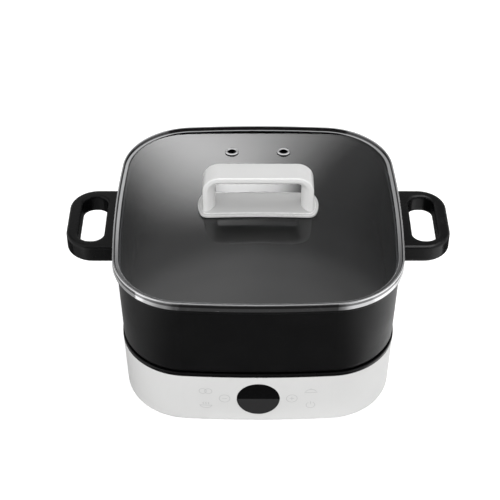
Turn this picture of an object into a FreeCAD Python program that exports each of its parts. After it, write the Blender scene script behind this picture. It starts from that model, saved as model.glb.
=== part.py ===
import FreeCAD, Part
import math
import os
import re

import Sketcher
from FreeCAD import Placement, Rotation, Vector

# Square electric hot pot: a heating base, a pot that lifts off it and a glass lid that lifts off
# the pot. Millimetres; X to the right, Y to the back, Z up. The origin is on the table, under the
# middle of the base. Every outline of the base, pot and lid is an offset of one master outline,
# the lid rim's: four long side arcs joined by four corner arcs. An inset is the distance inwards
# from that outline.

SIZES = {
    # master outline
    "outline_half": 144.9,        # half the lid rim's width
    "side_radius": 1091.0,        # of the long side arcs
    "corner_radius": 72.8,        # of the corner arcs
    # base housing
    "housing_low": 1.2,           # underside, above the table
    "housing_top": 67.2,
    "housing_inset": 5.2,
    "housing_lean": 1.5,          # degrees that the wall leans in towards the table
    "housing_edge": 6.0,          # rounded lower edge
    "wall_inset": 10.3,            # inner face of the wall
    "rebate_inset": 7.3,          # thinner wall that takes the deck
    "rebate_low": 62.8,
    "ledge_inset": 27.5,          # opening in the floor ledge
    "ledge_low": 5.2,
    "ledge_top": 8.0,
    "post_spread": 107.5,         # screw posts, along X and along Y
    "post_radius": 4.5,
    "post_pilot": 1.6,
    "pilot_depth": 14.0,
    "boss_radius": 3.8,           # inlet screw bosses
    "boss_length": 6.0,
    # bottom cover and feet
    "cover_inset": 14.4,
    "cover_gap": 0.4,
    "cover_low": 1.4,
    "vent_length": 36.0,
    "vent_width": 3.0,
    "vent_pitch": 9.0,
    "vent_count": 9,
    "vent_offset": 62.0,
    "screw_head": 3.5,
    "screw_hole": 2.0,
    "small_pilot": 1.5,
    "foot_spread": 88.0,
    "foot_radius": 9.0,
    "foot_neck": 3.0,
    "foot_bulb": 4.2,
    "foot_bulb_top": 8.2,
    "screw_well": 1.4,            # depth of the cover screws' recesses
    # front panel
    "window_level": 36.3,
    "window_radius": 21.4,
    "window_gap": 0.2,
    "lens_thick": 5.0,
    "lens_flange": 23.6,
    "lens_flange_thick": 1.2,
    "panel_inner": 134.6,         # inner face of the front wall, from the middle
    "pad_radius": 4.6,
    "pad_near": 33.4,
    "pad_far": 52.0,
    "pad_rise": 10.3,
    "board_face": 130.6,          # front of the display board, from the middle
    "board_thick": 1.6,
    "board_width": 126.0,
    "board_height": 45.0,
    "peg_radius": 3.0,
    "peg_rise": 17.5,
    "peg_inset": 5.0,             # from the display board's ends
    "peg_pilot": 1.2,
    "board_hole": 1.5,
    "module_width": 26.0,
    "module_height": 17.0,
    # power inlet
    "inlet_level": 31.0,
    "inlet_width": 28.0,
    "inlet_height": 20.5,
    "inlet_corner": 5.5,
    "inlet_depth": 22.0,
    "inlet_wall": 1.8,
    "socket_depth": 17.0,
    "inlet_flange_width": 50.0,
    "inlet_flange_height": 23.5,
    "inlet_flange_thick": 2.2,
    "inlet_clearance": 0.3,
    "inlet_screw_x": 20.0,
    "inlet_face": 139.0,
    "pin_length": 12.5,
    "pin_width": 4.0,
    "pin_thick": 2.0,
    "pin_x": 7.0,
    "pin_rise": 2.4,
    "tab_length": 8.0,
    # deck
    "deck_inset": 5.0,
    "deck_top": 71.1,
    "deck_edge": 0.9,
    "deck_ring_inset": 7.6,
    "deck_ring_low": 63.0,
    "deck_skirt_inset": 10.7,
    "deck_skirt_low": 62.6,
    "deck_floor_low": 63.7,
    "pan_ring_inner": 97.2,
    "pan_ring_outer": 107.5,
    "pan_ring_low": 56.0,
    "pan_screw_pitch": 102.3,     # radius at which the pan's screws stand
    # heating plate and its pan
    "plate_radius": 95.0,
    "plate_top": 65.7,
    "plate_low": 58.7,
    "plate_bore": 19.0,
    "plate_rib_low": 51.7,
    "tube_ring_radius": 62.0,
    "tube_radius": 3.3,
    "tube_slack": 0.2,
    "rib_wall": 6.0,
    "tube_sweep": 312.0,          # degrees
    "tube_bend": 7.0,             # where the ring's ends turn down
    "terminal_low": 34.0,
    "terminal_pin": 8.0,
    "pan_thick": 0.8,
    "pan_floor": 46.0,
    "pan_floor_radius": 89.5,
    "pan_wall_radius": 94.5,
    "plate_post_pitch": 84.0,
    "plate_post_radius": 4.2,
    # sensor
    "sensor_radius": 13.0,
    "sensor_wall": 1.2,
    "sensor_low": 50.4,
    "sensor_flange": 15.0,
    "sensor_flange_thick": 1.4,
    "sleeve_inner": 15.3,
    "sleeve_outer": 17.0,
    "sleeve_low": 41.0,
    "sleeve_top": 56.8,
    "sleeve_lip": 13.5,
    "sleeve_collar": 22.0,
    "spring_radius": 9.0,
    "spring_wire": 0.7,
    "spring_pitch": 4.4,
    "spring_low": 43.0,
    "spring_top": 64.2,
    "bead_radius": 3.0,
    "bead_low": 56.0,
    # electronics
    "power_board_x": 0.0,
    "power_board_y": 62.0,
    "power_board_width": 116.0,
    "power_board_depth": 62.0,
    "power_board_low": 13.0,
    "transformer_x": 38.0,
    "transformer_y": 55.0,
    "standoff_radius": 3.2,
    "standoff_inset": 5.0,
    "lead_radius": 1.6,
    "ribbon_width": 18.0,
    "ribbon_thick": 0.8,
    # pot
    "pot_inset": 3.6,             # at the rim
    "pot_draft": 1.65,            # degrees that the wall leans in towards the table
    "pot_seat": 66.0,             # underside of the contact disc
    "pot_low": 67.2,
    "pot_edge": 10.6,
    "pot_wall": 2.8,
    "pot_floor": 70.2,
    "pot_inner_edge": 7.0,
    "well_gap": 1.0,
    "well_inset": 5.1,            # deck's wall round the pot
    "contact_radius": 93.0,
    "rim_inset": 0.3,
    "rim_low": 156.8,
    "rim_top": 160.0,
    "rim_edge": 1.0,
    # side handles
    "handle_low": 137.0,
    "handle_top": 156.3,
    "handle_reach": 193.5,
    "handle_half": 46.5,
    "handle_root": 130.0,         # where the block starts, inside the pot's wall
    "handle_corner": 28.0,
    "handle_edge": 3.0,
    "finger_edge": 2.6,
    "grip_width": 12.5,
    "finger_near": 155.0,
    "finger_half": 35.2,
    "finger_corner": 12.0,
    "handle_gap": 0.2,
    "handle_screw_y": 22.0,
    "lug_radius": 5.5,            # bosses on the pot for the handles' screws
    "lug_reach": 149.6,
    "lug_pilot_depth": 5.0,
    "head_well": 4.2,             # radius of the holes for the handle screws' heads
    # lid
    "lid_top": 168.5,
    "skirt_low": 160.3,
    "skirt_flare": 0.4,
    "rim_lip": 5.7,               # inset of the rim's inner edge
    "rim_sheet": 0.6,
    "lip_top": 166.0,             # lip over the glass
    "ridge_width": 1.6,           # folded ridge round the lip
    "ridge_round": 0.7,
    "lip_round": 0.4,
    "collar_inset": 7.3,
    "collar_low": 154.0,
    "glass_inset": 3.0,
    "glass_edge_level": 164.7,
    "glass_rise": 7.4,
    "glass_span": 136.0,          # half width over which the glass rises
    "glass_patch": 150.0,
    "glass_thick": 3.0,
    # lid handle
    "gasket_thick": 0.6,
    "base_half": 60.9,
    "base_half_depth": 18.6,
    "base_thick": 2.6,
    "base_step": 0.7,
    "base_border": 3.0,
    "base_end_radius": 34.0,
    "base_corner": 9.0,
    "gasket_margin": 2.0,
    "grip_half": 55.4,
    "grip_top": 216.1,
    "grip_corner": 17.0,
    "grip_half_depth": 12.9,
    "grip_edge": 4.6,
    "grip_swell": 7.8,
    "grip_round": 1.5,
    "handle_screw_x": 49.0,
    "washer_radius": 8.0,
    "washer_thick": 1.2,
    # vents
    "vent_x": 27.5,
    "vent_y": 96.2,
    "vent_bore": 4.4,
    "vent_flange": 7.0,
    "vent_flange_thick": 1.7,
    "vent_neck": 5.6,
    "vent_ring": 7.4,
}

# A side arc's centre is this far beyond the Z axis, whatever the inset.
SIDE_OFFSET = "(side_radius - outline_half)"
UP = Vector(0, 0, 1)

doc = FreeCAD.newDocument("HotPot")
sheet = doc.addObject("Spreadsheet::Sheet", "Sizes")
for row, (alias, number) in enumerate(SIZES.items(), 1):
    sheet.set(f"A{row}", alias)
    sheet.set(f"B{row}", str(number))
    sheet.setAlias(f"B{row}", alias)
doc.recompute()


def size(text):
    """The value of a sum of named sizes, such as 'deck_top - 2 * deck_edge'."""
    result = sheet.evalExpression(text)
    return float(getattr(result, "Value", result))


def bind(thing, path, text):
    """Tie a property to the spreadsheet through a sum of named sizes."""
    expression = re.sub(r"[a-z_]+", lambda word: f"Sizes.{word[0]}" if word[0] in SIZES else word[0], text)
    thing.setExpression(path, expression)


# ---- sketches and features ------------------------------------------------------------------

def new_body(label):
    body = doc.addObject("PartDesign::Body", label)
    body.Label = label
    return body


def new_sketch(body, role="XY_Plane", level="0"):
    """An empty sketch on one of the body's origin planes, moved out along its normal."""
    sketch = body.newObject("Sketcher::SketchObject", f"{body.Label}_sketch")
    plane = next(item for item in body.Origin.OriginFeatures if item.Role == role)
    sketch.AttachmentSupport = [(plane, "")]
    sketch.MapMode = "FlatFace"
    bind(sketch, ".AttachmentOffset.Base.z", level)
    return sketch


def dimension(sketch, kind, *places, text):
    """Add a dimension and bind it to the spreadsheet."""
    index = sketch.addConstraint(Sketcher.Constraint(kind, *places, size(text)))
    bind(sketch, f"Constraints[{index}]", text)


def place_point(sketch, element, point, x, y):
    """Hold a point of the sketch at x, y; zero puts it on the axis."""
    for kind, axis, text in (("DistanceX", -2, x), ("DistanceY", -1, y)):
        if abs(size(text)) < 1e-9:
            sketch.addConstraint(Sketcher.Constraint("PointOnObject", element, point, axis))
        else:
            dimension(sketch, kind, element, point, text=text)


def add_circle(sketch, radius, x="0", y="0"):
    centre = Vector(size(x), size(y), 0)
    element = sketch.addGeometry(Part.Circle(centre, UP, size(radius)))
    place_point(sketch, element, 3, x, y)
    dimension(sketch, "Radius", element, text=radius)


def add_polygon(sketch, points):
    """A closed run of straight lines through points given as pairs of sums."""
    spots = [Vector(size(x), size(y), 0) for x, y in points]
    count = len(points)
    lines = [Part.LineSegment(spots[i], spots[(i + 1) % count]) for i in range(count)]
    first = sketch.GeometryCount
    sketch.addGeometry(lines)
    for i, (x, y) in enumerate(points):
        previous = first + (i - 1) % count
        sketch.addConstraint(Sketcher.Constraint("Coincident", previous, 2, first + i, 1))
        place_point(sketch, first + i, 1, x, y)


def add_rectangle(sketch, width, depth, x="0", y="0"):
    left, right = f"{x} - ({width}) / 2", f"{x} + ({width}) / 2"
    front, back = f"{y} - ({depth}) / 2", f"{y} + ({depth}) / 2"
    add_polygon(sketch, [(left, front), (right, front), (right, back), (left, back)])


def add_rounded_rectangle(sketch, width, depth, radius, x="0", y="0"):
    """Four straight sides tangent to four corner arcs."""
    half_x, half_y, round_off = size(f"({width}) / 2"), size(f"({depth}) / 2"), size(radius)
    middle = Vector(size(x), size(y), 0)
    first = sketch.GeometryCount
    signs = ((1, -1), (1, 1), (-1, 1), (-1, -1))
    for quarter, (sx, sy) in enumerate(signs):
        centre = middle + Vector(sx * (half_x - round_off), sy * (half_y - round_off), 0)
        start = math.radians(90 * quarter - 90)
        arc = Part.ArcOfCircle(Part.Circle(centre, UP, round_off), start, start + math.pi / 2)
        nsx, nsy = signs[(quarter + 1) % 4]
        following = middle + Vector(nsx * (half_x - round_off), nsy * (half_y - round_off), 0)
        out = Vector(math.cos(start + math.pi / 2), math.sin(start + math.pi / 2), 0) * round_off
        sketch.addGeometry([arc, Part.LineSegment(centre + out, following + out)])
    for i in range(8):
        sketch.addConstraint(Sketcher.Constraint("Tangent", first + i, 2, first + (i + 1) % 8, 1))
    for quarter, (sx, sy) in enumerate(signs):
        side_x, side_y = ("+" if sx > 0 else "-"), ("+" if sy > 0 else "-")
        place_point(sketch, first + 2 * quarter, 3, f"{x} {side_x} (({width}) / 2 - ({radius}))",
                    f"{y} {side_y} (({depth}) / 2 - ({radius}))")
        dimension(sketch, "Radius", first + 2 * quarter, text=radius)


def corner_centre():
    """Distance of the corner arcs' centres from both axes, and half the angle of a side arc."""
    offset = size(SIDE_OFFSET)
    reach = size("side_radius - corner_radius")
    centre = (math.sqrt(2 * reach ** 2 - offset ** 2) - offset) / 2
    return centre, math.atan2(centre, centre + offset)


def add_outline(sketch, inset):
    """The master outline, moved inwards: side arcs tangent to corner arcs, all the way round."""
    offset, side, corner = size(SIDE_OFFSET), size("side_radius"), size("corner_radius")
    centre, join = corner_centre()
    first = sketch.GeometryCount
    for quarter in range(4):
        middle = math.radians(90 * quarter - 90)
        side_centre = Vector(-offset * math.cos(middle), -offset * math.sin(middle), 0)
        diagonal = middle + math.pi / 4
        corner_spot = Vector(math.cos(diagonal), math.sin(diagonal), 0) * centre * math.sqrt(2)
        side_circle = Part.Circle(side_centre, UP, side)
        corner_circle = Part.Circle(corner_spot, UP, corner)
        sketch.addGeometry([
            Part.ArcOfCircle(side_circle, middle - join, middle + join),
            Part.ArcOfCircle(corner_circle, middle + join, middle + math.pi / 2 - join)])
    for i in range(8):
        following = first + (i + 1) % 8
        sketch.addConstraint(Sketcher.Constraint("Tangent", first + i, 2, following, 1))
    side_centres = [("0", SIDE_OFFSET), (f"0 - {SIDE_OFFSET}", "0"),
                    ("0", f"0 - {SIDE_OFFSET}"), (SIDE_OFFSET, "0")]
    for quarter, (x, y) in enumerate(side_centres):
        place_point(sketch, first + 2 * quarter, 3, x, y)
        dimension(sketch, "Radius", first + 2 * quarter, text=f"side_radius - ({inset})")
        dimension(sketch, "Radius", first + 2 * quarter + 1, text=f"corner_radius - ({inset})")


def pad(body, sketch, length, down=False):
    feature = body.newObject("PartDesign::Pad", f"{body.Label}_pad")
    feature.Profile = sketch
    bind(feature, "Length", length)
    feature.Reversed = down
    doc.recompute()
    return feature


def pocket(body, sketch, depth, up=False):
    """Cut the sketch away, down from its plane, or up from it."""
    before = body.Shape.Volume
    feature = body.newObject("PartDesign::Pocket", f"{body.Label}_pocket")
    feature.Profile = sketch
    bind(feature, "Length", depth)
    feature.Reversed = up
    doc.recompute()
    if body.Shape.Volume > before - 1e-3:
        raise RuntimeError(f"{feature.Label} of {body.Label} cuts nothing")
    return feature


def disc_sketch(body, role, level, radius, places):
    """A sketch of equal circles at places given as pairs of sums."""
    sketch = new_sketch(body, role, level)
    for x, y in places:
        add_circle(sketch, radius, x, y)
    return sketch


def studs(body, level, radius, places, length, role="XY_Plane"):
    """Equal round posts that stand on a plane."""
    return pad(body, disc_sketch(body, role, level, radius, places), length)


def holes(body, level, radius, places, depth, role="XY_Plane", up=True):
    """Equal round holes cut from a plane."""
    return pocket(body, disc_sketch(body, role, level, radius, places), depth, up)


def either_side(x, middle="0"):
    """Two places across the middle, at one height or depth."""
    return [(f"0 {sign} ({x})", middle) for sign in "-+"]


def four_places(x, y, middle_x="0", middle_y="0"):
    """The corners of a rectangle, given by its half sizes and its middle."""
    return [(f"{middle_x} {across} ({x})", f"{middle_y} {along} ({y})")
            for along in "-+" for across in "-+"]


def ring_places(radius, turns):
    """Places at one distance from the Z axis, at angles in degrees."""
    return [(f"{radius} * cos({turn} deg)", f"{radius} * sin({turn} deg)") for turn in turns]


def measured(places):
    return [(size(x), size(y)) for x, y in places]


def bent_rod(label, bend, radius, sweep, placement):
    """Round stock bent to an arc, from the X axis of its placement on."""
    rod = doc.addObject("Part::Torus", label)
    bind(rod, "Radius1", bend)
    bind(rod, "Radius2", radius)
    bind(rod, "Angle3", sweep)
    rod.Placement = placement
    return rod


def edges_where(feature, wanted):
    """Names of the feature's edges that pass the test, which is given each edge."""
    return [f"Edge{i}" for i, edge in enumerate(feature.Shape.Edges, 1) if wanted(edge)]


def lies_at(level, low=0.0, high=1e6):
    """A test for edges at one height whose distance from the Z axis is between two bounds."""
    def wanted(edge):
        box = edge.BoundBox
        middle = edge.valueAt((edge.FirstParameter + edge.LastParameter) / 2)
        flat = abs(box.ZMin - level) < 0.02 and abs(box.ZMax - level) < 0.02
        return flat and low <= math.hypot(middle.x, middle.y) <= high
    return wanted


def fillet(body, feature, wanted, radius):
    names = edges_where(feature, wanted)
    if not names:
        raise RuntimeError(f"no edge to round on {body.Label}")
    rounded = body.newObject("PartDesign::Fillet", f"{body.Label}_fillet")
    rounded.Base = (feature, names)
    bind(rounded, "Radius", radius)
    doc.recompute()
    if "Invalid" in rounded.State:
        raise RuntimeError(f"cannot round {names} on {body.Label}")
    return rounded


def turned(label, points):
    """A body turned about the Z axis from a profile of radius and height pairs."""
    body = new_body(label)
    profile = new_sketch(body, "XZ_Plane")
    add_polygon(profile, points)
    turn = body.newObject("PartDesign::Revolution", f"{label}_turn")
    turn.Profile = profile
    turn.ReferenceAxis = (profile, ["V_Axis"])
    turn.Angle = 360
    doc.recompute()
    return body


def slab(label, inset, low, high):
    """A plain plate with the shared outline."""
    body = new_body(label)
    sketch = new_sketch(body, level=low)
    add_outline(sketch, inset)
    pad(body, sketch, f"{high} - {low}")
    return body


def leaning_block(body, inset, low, high, lean):
    """A block with the shared outline at its top, whose wall leans in towards the table."""
    top = new_sketch(body, level=high)
    add_outline(top, inset)
    block = pad(body, top, f"{high} - ({low})", down=True)
    bind(block, "TaperAngle", f"0 - {lean}")
    doc.recompute()
    return block


def copies(label, original, placements):
    """Repeated pieces in one sub-part: links to one original, gathered in a compound."""
    links = []
    for number, placement in enumerate(placements, 1):
        link = doc.addObject("App::Link", f"{label}_{number}")
        link.LinkedObject = original
        link.Placement = placement
        links.append(link)
    group = doc.addObject("Part::Compound", label)
    group.Label = label
    group.Links = links
    doc.recompute()
    return group


def cut(label, base, tools):
    """Part::Cut with one or more tools, joined first when there are several."""
    tool = fused(f"{label}_tools", tools) if len(tools) > 1 else tools[0]
    result = doc.addObject("Part::Cut", label)
    result.Base = base
    result.Tool = tool
    result.Label = label
    doc.recompute()
    return result


def fused(label, pieces):
    result = doc.addObject("Part::MultiFuse", label)
    result.Label = label
    result.Shapes = pieces
    doc.recompute()
    return result


def common(label, first, second):
    result = doc.addObject("Part::MultiCommon", label)
    result.Label = label
    result.Shapes = [first, second]
    doc.recompute()
    return result


def at(x, y, z, axis=UP, angle=0.0):
    return Placement(Vector(x, y, z), Rotation(axis, angle))


def post_places():
    """The four screw posts of the deck."""
    return four_places("post_spread", "post_spread")


def foot_places():
    return four_places("foot_spread", "foot_spread")


def peg_places():
    """The display board's four pegs, across and up the front wall."""
    return four_places("board_width / 2 - peg_inset", "peg_rise", middle_y="window_level")


def standoff_places():
    """The power board's four stand-offs."""
    return four_places("power_board_width / 2 - standoff_inset", "power_board_depth / 2 - standoff_inset",
                       "power_board_x", "power_board_y")


def pan_screw_places():
    return ring_places("pan_screw_pitch", (30, 150, 270))


def plate_post_places():
    return ring_places("plate_post_pitch", (90, 210, 330))


def lug_places():
    """The handle screws on one side of the pot, along it and up it."""
    return either_side("handle_screw_y", "(handle_low + handle_top) / 2")


def screw(label, head, head_height, shank, length):
    """A pan-head screw that points up, its head's underside at z = 0."""
    return turned(label, [("0", f"0 - {head_height}"), (f"{head} - 0.5", f"0 - {head_height}"),
                          (head, f"0.5 - {head_height}"), (head, "0"), (shank, "0"),
                          (shank, f"{length} - 0.6"), (f"{shank} - 0.6", length), ("0", length)])


# ---- base: housing, deck, cover and feet ----------------------------------------------------

def base_housing():
    """White shell: leaning outer wall, floor ledge for the cover, window and inlet cut-outs."""
    body = new_body("base_housing")
    blank = leaning_block(body, "housing_inset", "housing_low", "housing_top", "housing_lean")
    fillet(body, blank, lies_at(size("housing_low")), "housing_edge")

    rebate = new_sketch(body, level="housing_top")
    add_outline(rebate, "rebate_inset")
    pocket(body, rebate, "housing_top - rebate_low")
    inside = new_sketch(body, level="housing_top")
    add_outline(inside, "wall_inset")
    pocket(body, inside, "housing_top - ledge_top")
    opening = new_sketch(body, level="ledge_top")
    add_outline(opening, "ledge_inset")
    pocket(body, opening, "ledge_top - housing_low")
    recess = new_sketch(body, level="ledge_low")
    add_outline(recess, "cover_inset - cover_gap")
    pocket(body, recess, "ledge_low - housing_low")

    holes(body, "ledge_low", "post_pilot + 0.6", post_places(), "ledge_top - ledge_low")
    studs(body, "board_face", "peg_radius", peg_places(), "panel_inner - board_face + 1", "XZ_Plane")
    holes(body, "board_face", "peg_pilot", peg_places(), "panel_inner - board_face + 1", "XZ_Plane")
    inlet_screw_places = either_side("inlet_screw_x", "inlet_level")
    studs(body, "0 - panel_inner - 1", "boss_radius", inlet_screw_places, "boss_length", "XZ_Plane")
    holes(body, "outline_half + 1", "window_radius + window_gap", [("0", "window_level")],
          "outline_half + 1 - panel_inner + 1", "XZ_Plane", up=False)
    socket = new_sketch(body, "XZ_Plane", "0 - outline_half - 1")
    add_rectangle(socket, "inlet_width + 2 * inlet_clearance", "inlet_height + 2 * inlet_clearance",
                  "0", "inlet_level")
    pocket(body, socket, "inlet_depth", up=True)
    seat = new_sketch(body, "XZ_Plane", "0 - outline_half - 1")
    add_rectangle(seat, "inlet_flange_width + 2 * inlet_clearance",
                  "inlet_flange_height + 2 * inlet_clearance", "0", "inlet_level")
    pocket(body, seat, "outline_half + 1 - inlet_face + inlet_flange_thick", up=True)
    holes(body, "0 - inlet_face", "post_pilot", inlet_screw_places, "pilot_depth", "XZ_Plane")
    return body


def top_deck():
    """Black deck: collar on the housing, a well for the pot and a ring that carries the pan."""
    body = new_body("deck_blank")
    skirt = new_sketch(body, level="deck_skirt_low")
    add_outline(skirt, "deck_skirt_inset")
    pad(body, skirt, "housing_top - deck_skirt_low")
    ring = new_sketch(body, level="deck_ring_low")
    add_outline(ring, "deck_ring_inset")
    pad(body, ring, "housing_top - deck_ring_low")
    collar = new_sketch(body, level="housing_top")
    add_outline(collar, "deck_inset")
    blank = pad(body, collar, "deck_top - housing_top")
    fillet(body, blank, lies_at(size("deck_top")), "deck_edge")
    underside = new_sketch(body, level="deck_floor_low")
    add_outline(underside, "ledge_inset")
    pocket(body, underside, "deck_floor_low - deck_skirt_low")
    centre = [("0", "0")]
    studs(body, "pan_ring_low", "pan_ring_outer", centre, "deck_floor_low - pan_ring_low + 0.5")
    holes(body, "pan_ring_low", "pan_ring_inner", centre, "deck_top - pan_ring_low")
    studs(body, "ledge_top", "post_radius", post_places(), "deck_floor_low - ledge_top + 0.5")
    holes(body, "ledge_top", "post_pilot", post_places(), "pilot_depth")
    holes(body, "pan_ring_low", "small_pilot", pan_screw_places(), "5")

    well = slab("deck_well", "well_inset", "pot_low - well_gap", "deck_top + 20")
    fillet(well, well.Tip, lies_at(size("pot_low - well_gap")), "pot_edge + well_gap")
    return cut("top_deck", body, [well])


def bottom_cover():
    """Cover inside the housing's lower edge: vent slots, foot holes and board stand-offs."""
    body = new_body("bottom_cover")
    plate = new_sketch(body, level="cover_low")
    add_outline(plate, "cover_inset")
    pad(body, plate, "ledge_low - cover_low")
    studs(body, "ledge_low", "standoff_radius", standoff_places(), "power_board_low - ledge_low")
    holes(body, "power_board_low", "peg_pilot", standoff_places(), "power_board_low - ledge_low",
          up=False)
    holes(body, "cover_low", "foot_neck + 0.1", foot_places(), "ledge_low - cover_low")
    holes(body, "cover_low", "post_pilot + 0.6", post_places(), "ledge_low - cover_low")
    holes(body, "cover_low", "screw_head + 0.3", post_places(), "screw_well")
    slot = new_sketch(body, level="ledge_low")
    add_rectangle(slot, "vent_width", "vent_length", "0 - vent_pitch * (vent_count - 1) / 2",
                  "0 - vent_offset")
    slots = pocket(body, slot, "ledge_low - cover_low")
    row_of_slots = body.newObject("PartDesign::LinearPattern", "vent_row")
    row_of_slots.Originals = [slots]
    row_of_slots.Direction = (slot, ["H_Axis"])
    bind(row_of_slots, "Length", "vent_pitch * (vent_count - 1)")
    bind(row_of_slots, "Occurrences", "vent_count")
    body.Tip = row_of_slots
    doc.recompute()
    return body


def feet():
    """Four rubber feet, each pushed through the cover and held by its bulb."""
    names = ("foot_front_left", "foot_front_right", "foot_rear_left", "foot_rear_right")
    made = []
    for name, (x, y) in zip(names, measured(foot_places())):
        foot = turned(name, [("0", "0"), ("foot_radius - 1", "0"), ("foot_radius", "0.8"),
                             ("foot_radius", "cover_low"), ("foot_neck", "cover_low"),
                             ("foot_neck", "ledge_low"), ("foot_bulb", "ledge_low"),
                             ("foot_neck - 0.8", "foot_bulb_top"), ("0", "foot_bulb_top")])
        foot.Placement = at(x, y, 0)
        made.append(foot)
    return made


def cover_screws():
    one = screw("cover_screw", "screw_head", "1.2", "post_pilot", "pilot_depth + 2")
    level = size("cover_low + screw_well")
    return copies("cover_screws", one, [at(x, y, level) for x, y in measured(post_places())])


# ---- base: heating plate, pan and sensor ----------------------------------------------------

def heating_plate():
    """Cast plate: bore for the sensor, and a channelled rib underneath for the heating tube."""
    rib_inner = "tube_ring_radius - tube_radius - rib_wall"
    rib_outer = "tube_ring_radius + tube_radius + rib_wall"
    slot_inner = "tube_ring_radius - tube_radius - tube_slack"
    slot_outer = "tube_ring_radius + tube_radius + tube_slack"
    body = turned("heating_plate", [
        ("plate_bore", "plate_low"), (rib_inner, "plate_low"), (rib_inner, "plate_rib_low"),
        (slot_inner, "plate_rib_low"), (slot_inner, "plate_low"), (slot_outer, "plate_low"),
        (slot_outer, "plate_rib_low"), (rib_outer, "plate_rib_low"), (rib_outer, "plate_low"),
        ("plate_radius", "plate_low"), ("plate_radius", "plate_top - 1"),
        ("plate_radius - 1", "plate_top"), ("plate_bore", "plate_top")])
    studs(body, "pan_floor", "plate_post_radius", plate_post_places(), "plate_low - pan_floor + 0.5")
    holes(body, "pan_floor", "post_pilot", plate_post_places(), "plate_low - pan_floor")
    return body


def tube_ends():
    """Angle of each end of the heating ring in degrees, and the way that it goes on: -1 or 1."""
    half_gap = size("(360 - tube_sweep) / 2")
    return [(270 - half_gap, 1), (270 + half_gap, -1)]


def tube_end_places():
    """The heating tube's two legs: each stands one bend beyond its end of the ring."""
    return [(f"tube_ring_radius * cos({turn} deg) - ({way}) * tube_bend * sin({turn} deg)",
             f"tube_ring_radius * sin({turn} deg) + ({way}) * tube_bend * cos({turn} deg)")
            for turn, way in tube_ends()]


def heating_tube():
    """Sheathed element: a ring in the plate's channel whose ends bend down into two legs."""
    middle = size("plate_low - tube_radius")
    ring = bent_rod("tube_ring", "tube_ring_radius", "tube_radius", "tube_sweep",
                    at(0, 0, middle, angle=tube_ends()[1][0] - 360))
    pieces = [ring]
    for (turn, way), (x, y) in zip(tube_ends(), measured(tube_end_places())):
        across = Vector(math.cos(math.radians(turn)), math.sin(math.radians(turn)), 0)
        ahead = UP.cross(across) * way
        upright = Rotation(ahead, UP, across * way, "XYZ")
        centre = across * size("tube_ring_radius") + UP * (middle - size("tube_bend"))
        pieces.append(bent_rod("tube_elbow", "tube_bend", "tube_radius", "90", Placement(centre, upright)))
        leg = doc.addObject("Part::Cylinder", "tube_leg")
        bind(leg, "Radius", "tube_radius")
        bind(leg, "Height", "plate_low - tube_radius - tube_bend - terminal_low")
        leg.Placement = at(x, y, size("terminal_low"))
        pin = doc.addObject("Part::Cylinder", "tube_pin")
        bind(pin, "Radius", "tube_radius / 2")
        bind(pin, "Height", "terminal_pin + 1")
        pin.Placement = at(x, y, size("terminal_low - terminal_pin"))
        pieces += [leg, pin]
    return fused("heating_tube", pieces)


def heat_pan():
    """Pressed steel pan that carries the plate and screws to the deck's ring."""
    body = turned("heat_pan", [
        ("sleeve_outer + 0.4", "pan_floor - pan_thick"), ("pan_floor_radius", "pan_floor - pan_thick"),
        ("pan_wall_radius + pan_thick", "pan_ring_low - pan_thick"),
        ("pan_ring_outer", "pan_ring_low - pan_thick"), ("pan_ring_outer", "pan_ring_low"),
        ("pan_wall_radius", "pan_ring_low"), ("pan_floor_radius - pan_thick", "pan_floor"),
        ("sleeve_outer + 0.4", "pan_floor")])
    below = "pan_floor - pan_thick"
    screw_places = pan_screw_places() + plate_post_places()
    holes(body, below, "screw_hole", screw_places, "pan_ring_low - pan_floor + 2")
    holes(body, below, "tube_radius + 1.5", tube_end_places(), "2 * pan_thick")
    return body


def pan_screws():
    one = screw("pan_screw", "screw_head", "1.8", "small_pilot", "5")
    level = size("pan_ring_low - pan_thick")
    return copies("pan_screws", one, [at(x, y, level) for x, y in measured(pan_screw_places())])


def plate_screws():
    one = screw("plate_screw", "screw_head", "2", "post_pilot", "9")
    level = size("pan_floor - pan_thick")
    return copies("plate_screws", one, [at(x, y, level) for x, y in measured(plate_post_places())])


def sensor_sleeve():
    """Guide in the pan: its lip keeps the sensor cap's flange down."""
    return turned("sensor_sleeve", [
        ("5", "sleeve_low"), ("sleeve_outer", "sleeve_low"), ("sleeve_outer", "pan_floor - 0.1"),
        ("sleeve_outer", "pan_floor"), ("sleeve_collar", "pan_floor"),
        ("sleeve_collar", "pan_floor + 1.2"), ("sleeve_outer", "pan_floor + 1.2"),
        ("sleeve_outer", "sleeve_top"), ("sleeve_lip", "sleeve_top"),
        ("sleeve_lip", "sleeve_top - 1.4"), ("sleeve_inner", "sleeve_top - 1.4"),
        ("sleeve_inner", "sleeve_low + 1.4"), ("5", "sleeve_low + 1.4")])


def sensor_cap():
    """Drawn aluminium cap that the pot's base presses level with the plate."""
    return turned("sensor_cap", [
        ("0", "plate_top - 1.4"), ("sensor_radius - sensor_wall", "plate_top - 1.4"),
        ("sensor_radius - sensor_wall", "sensor_low"), ("sensor_flange", "sensor_low"),
        ("sensor_flange", "sensor_low + sensor_flange_thick"),
        ("sensor_radius", "sensor_low + sensor_flange_thick"), ("sensor_radius", "plate_top - 1"),
        ("sensor_radius - 1", "plate_top"), ("0", "plate_top")])


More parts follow.
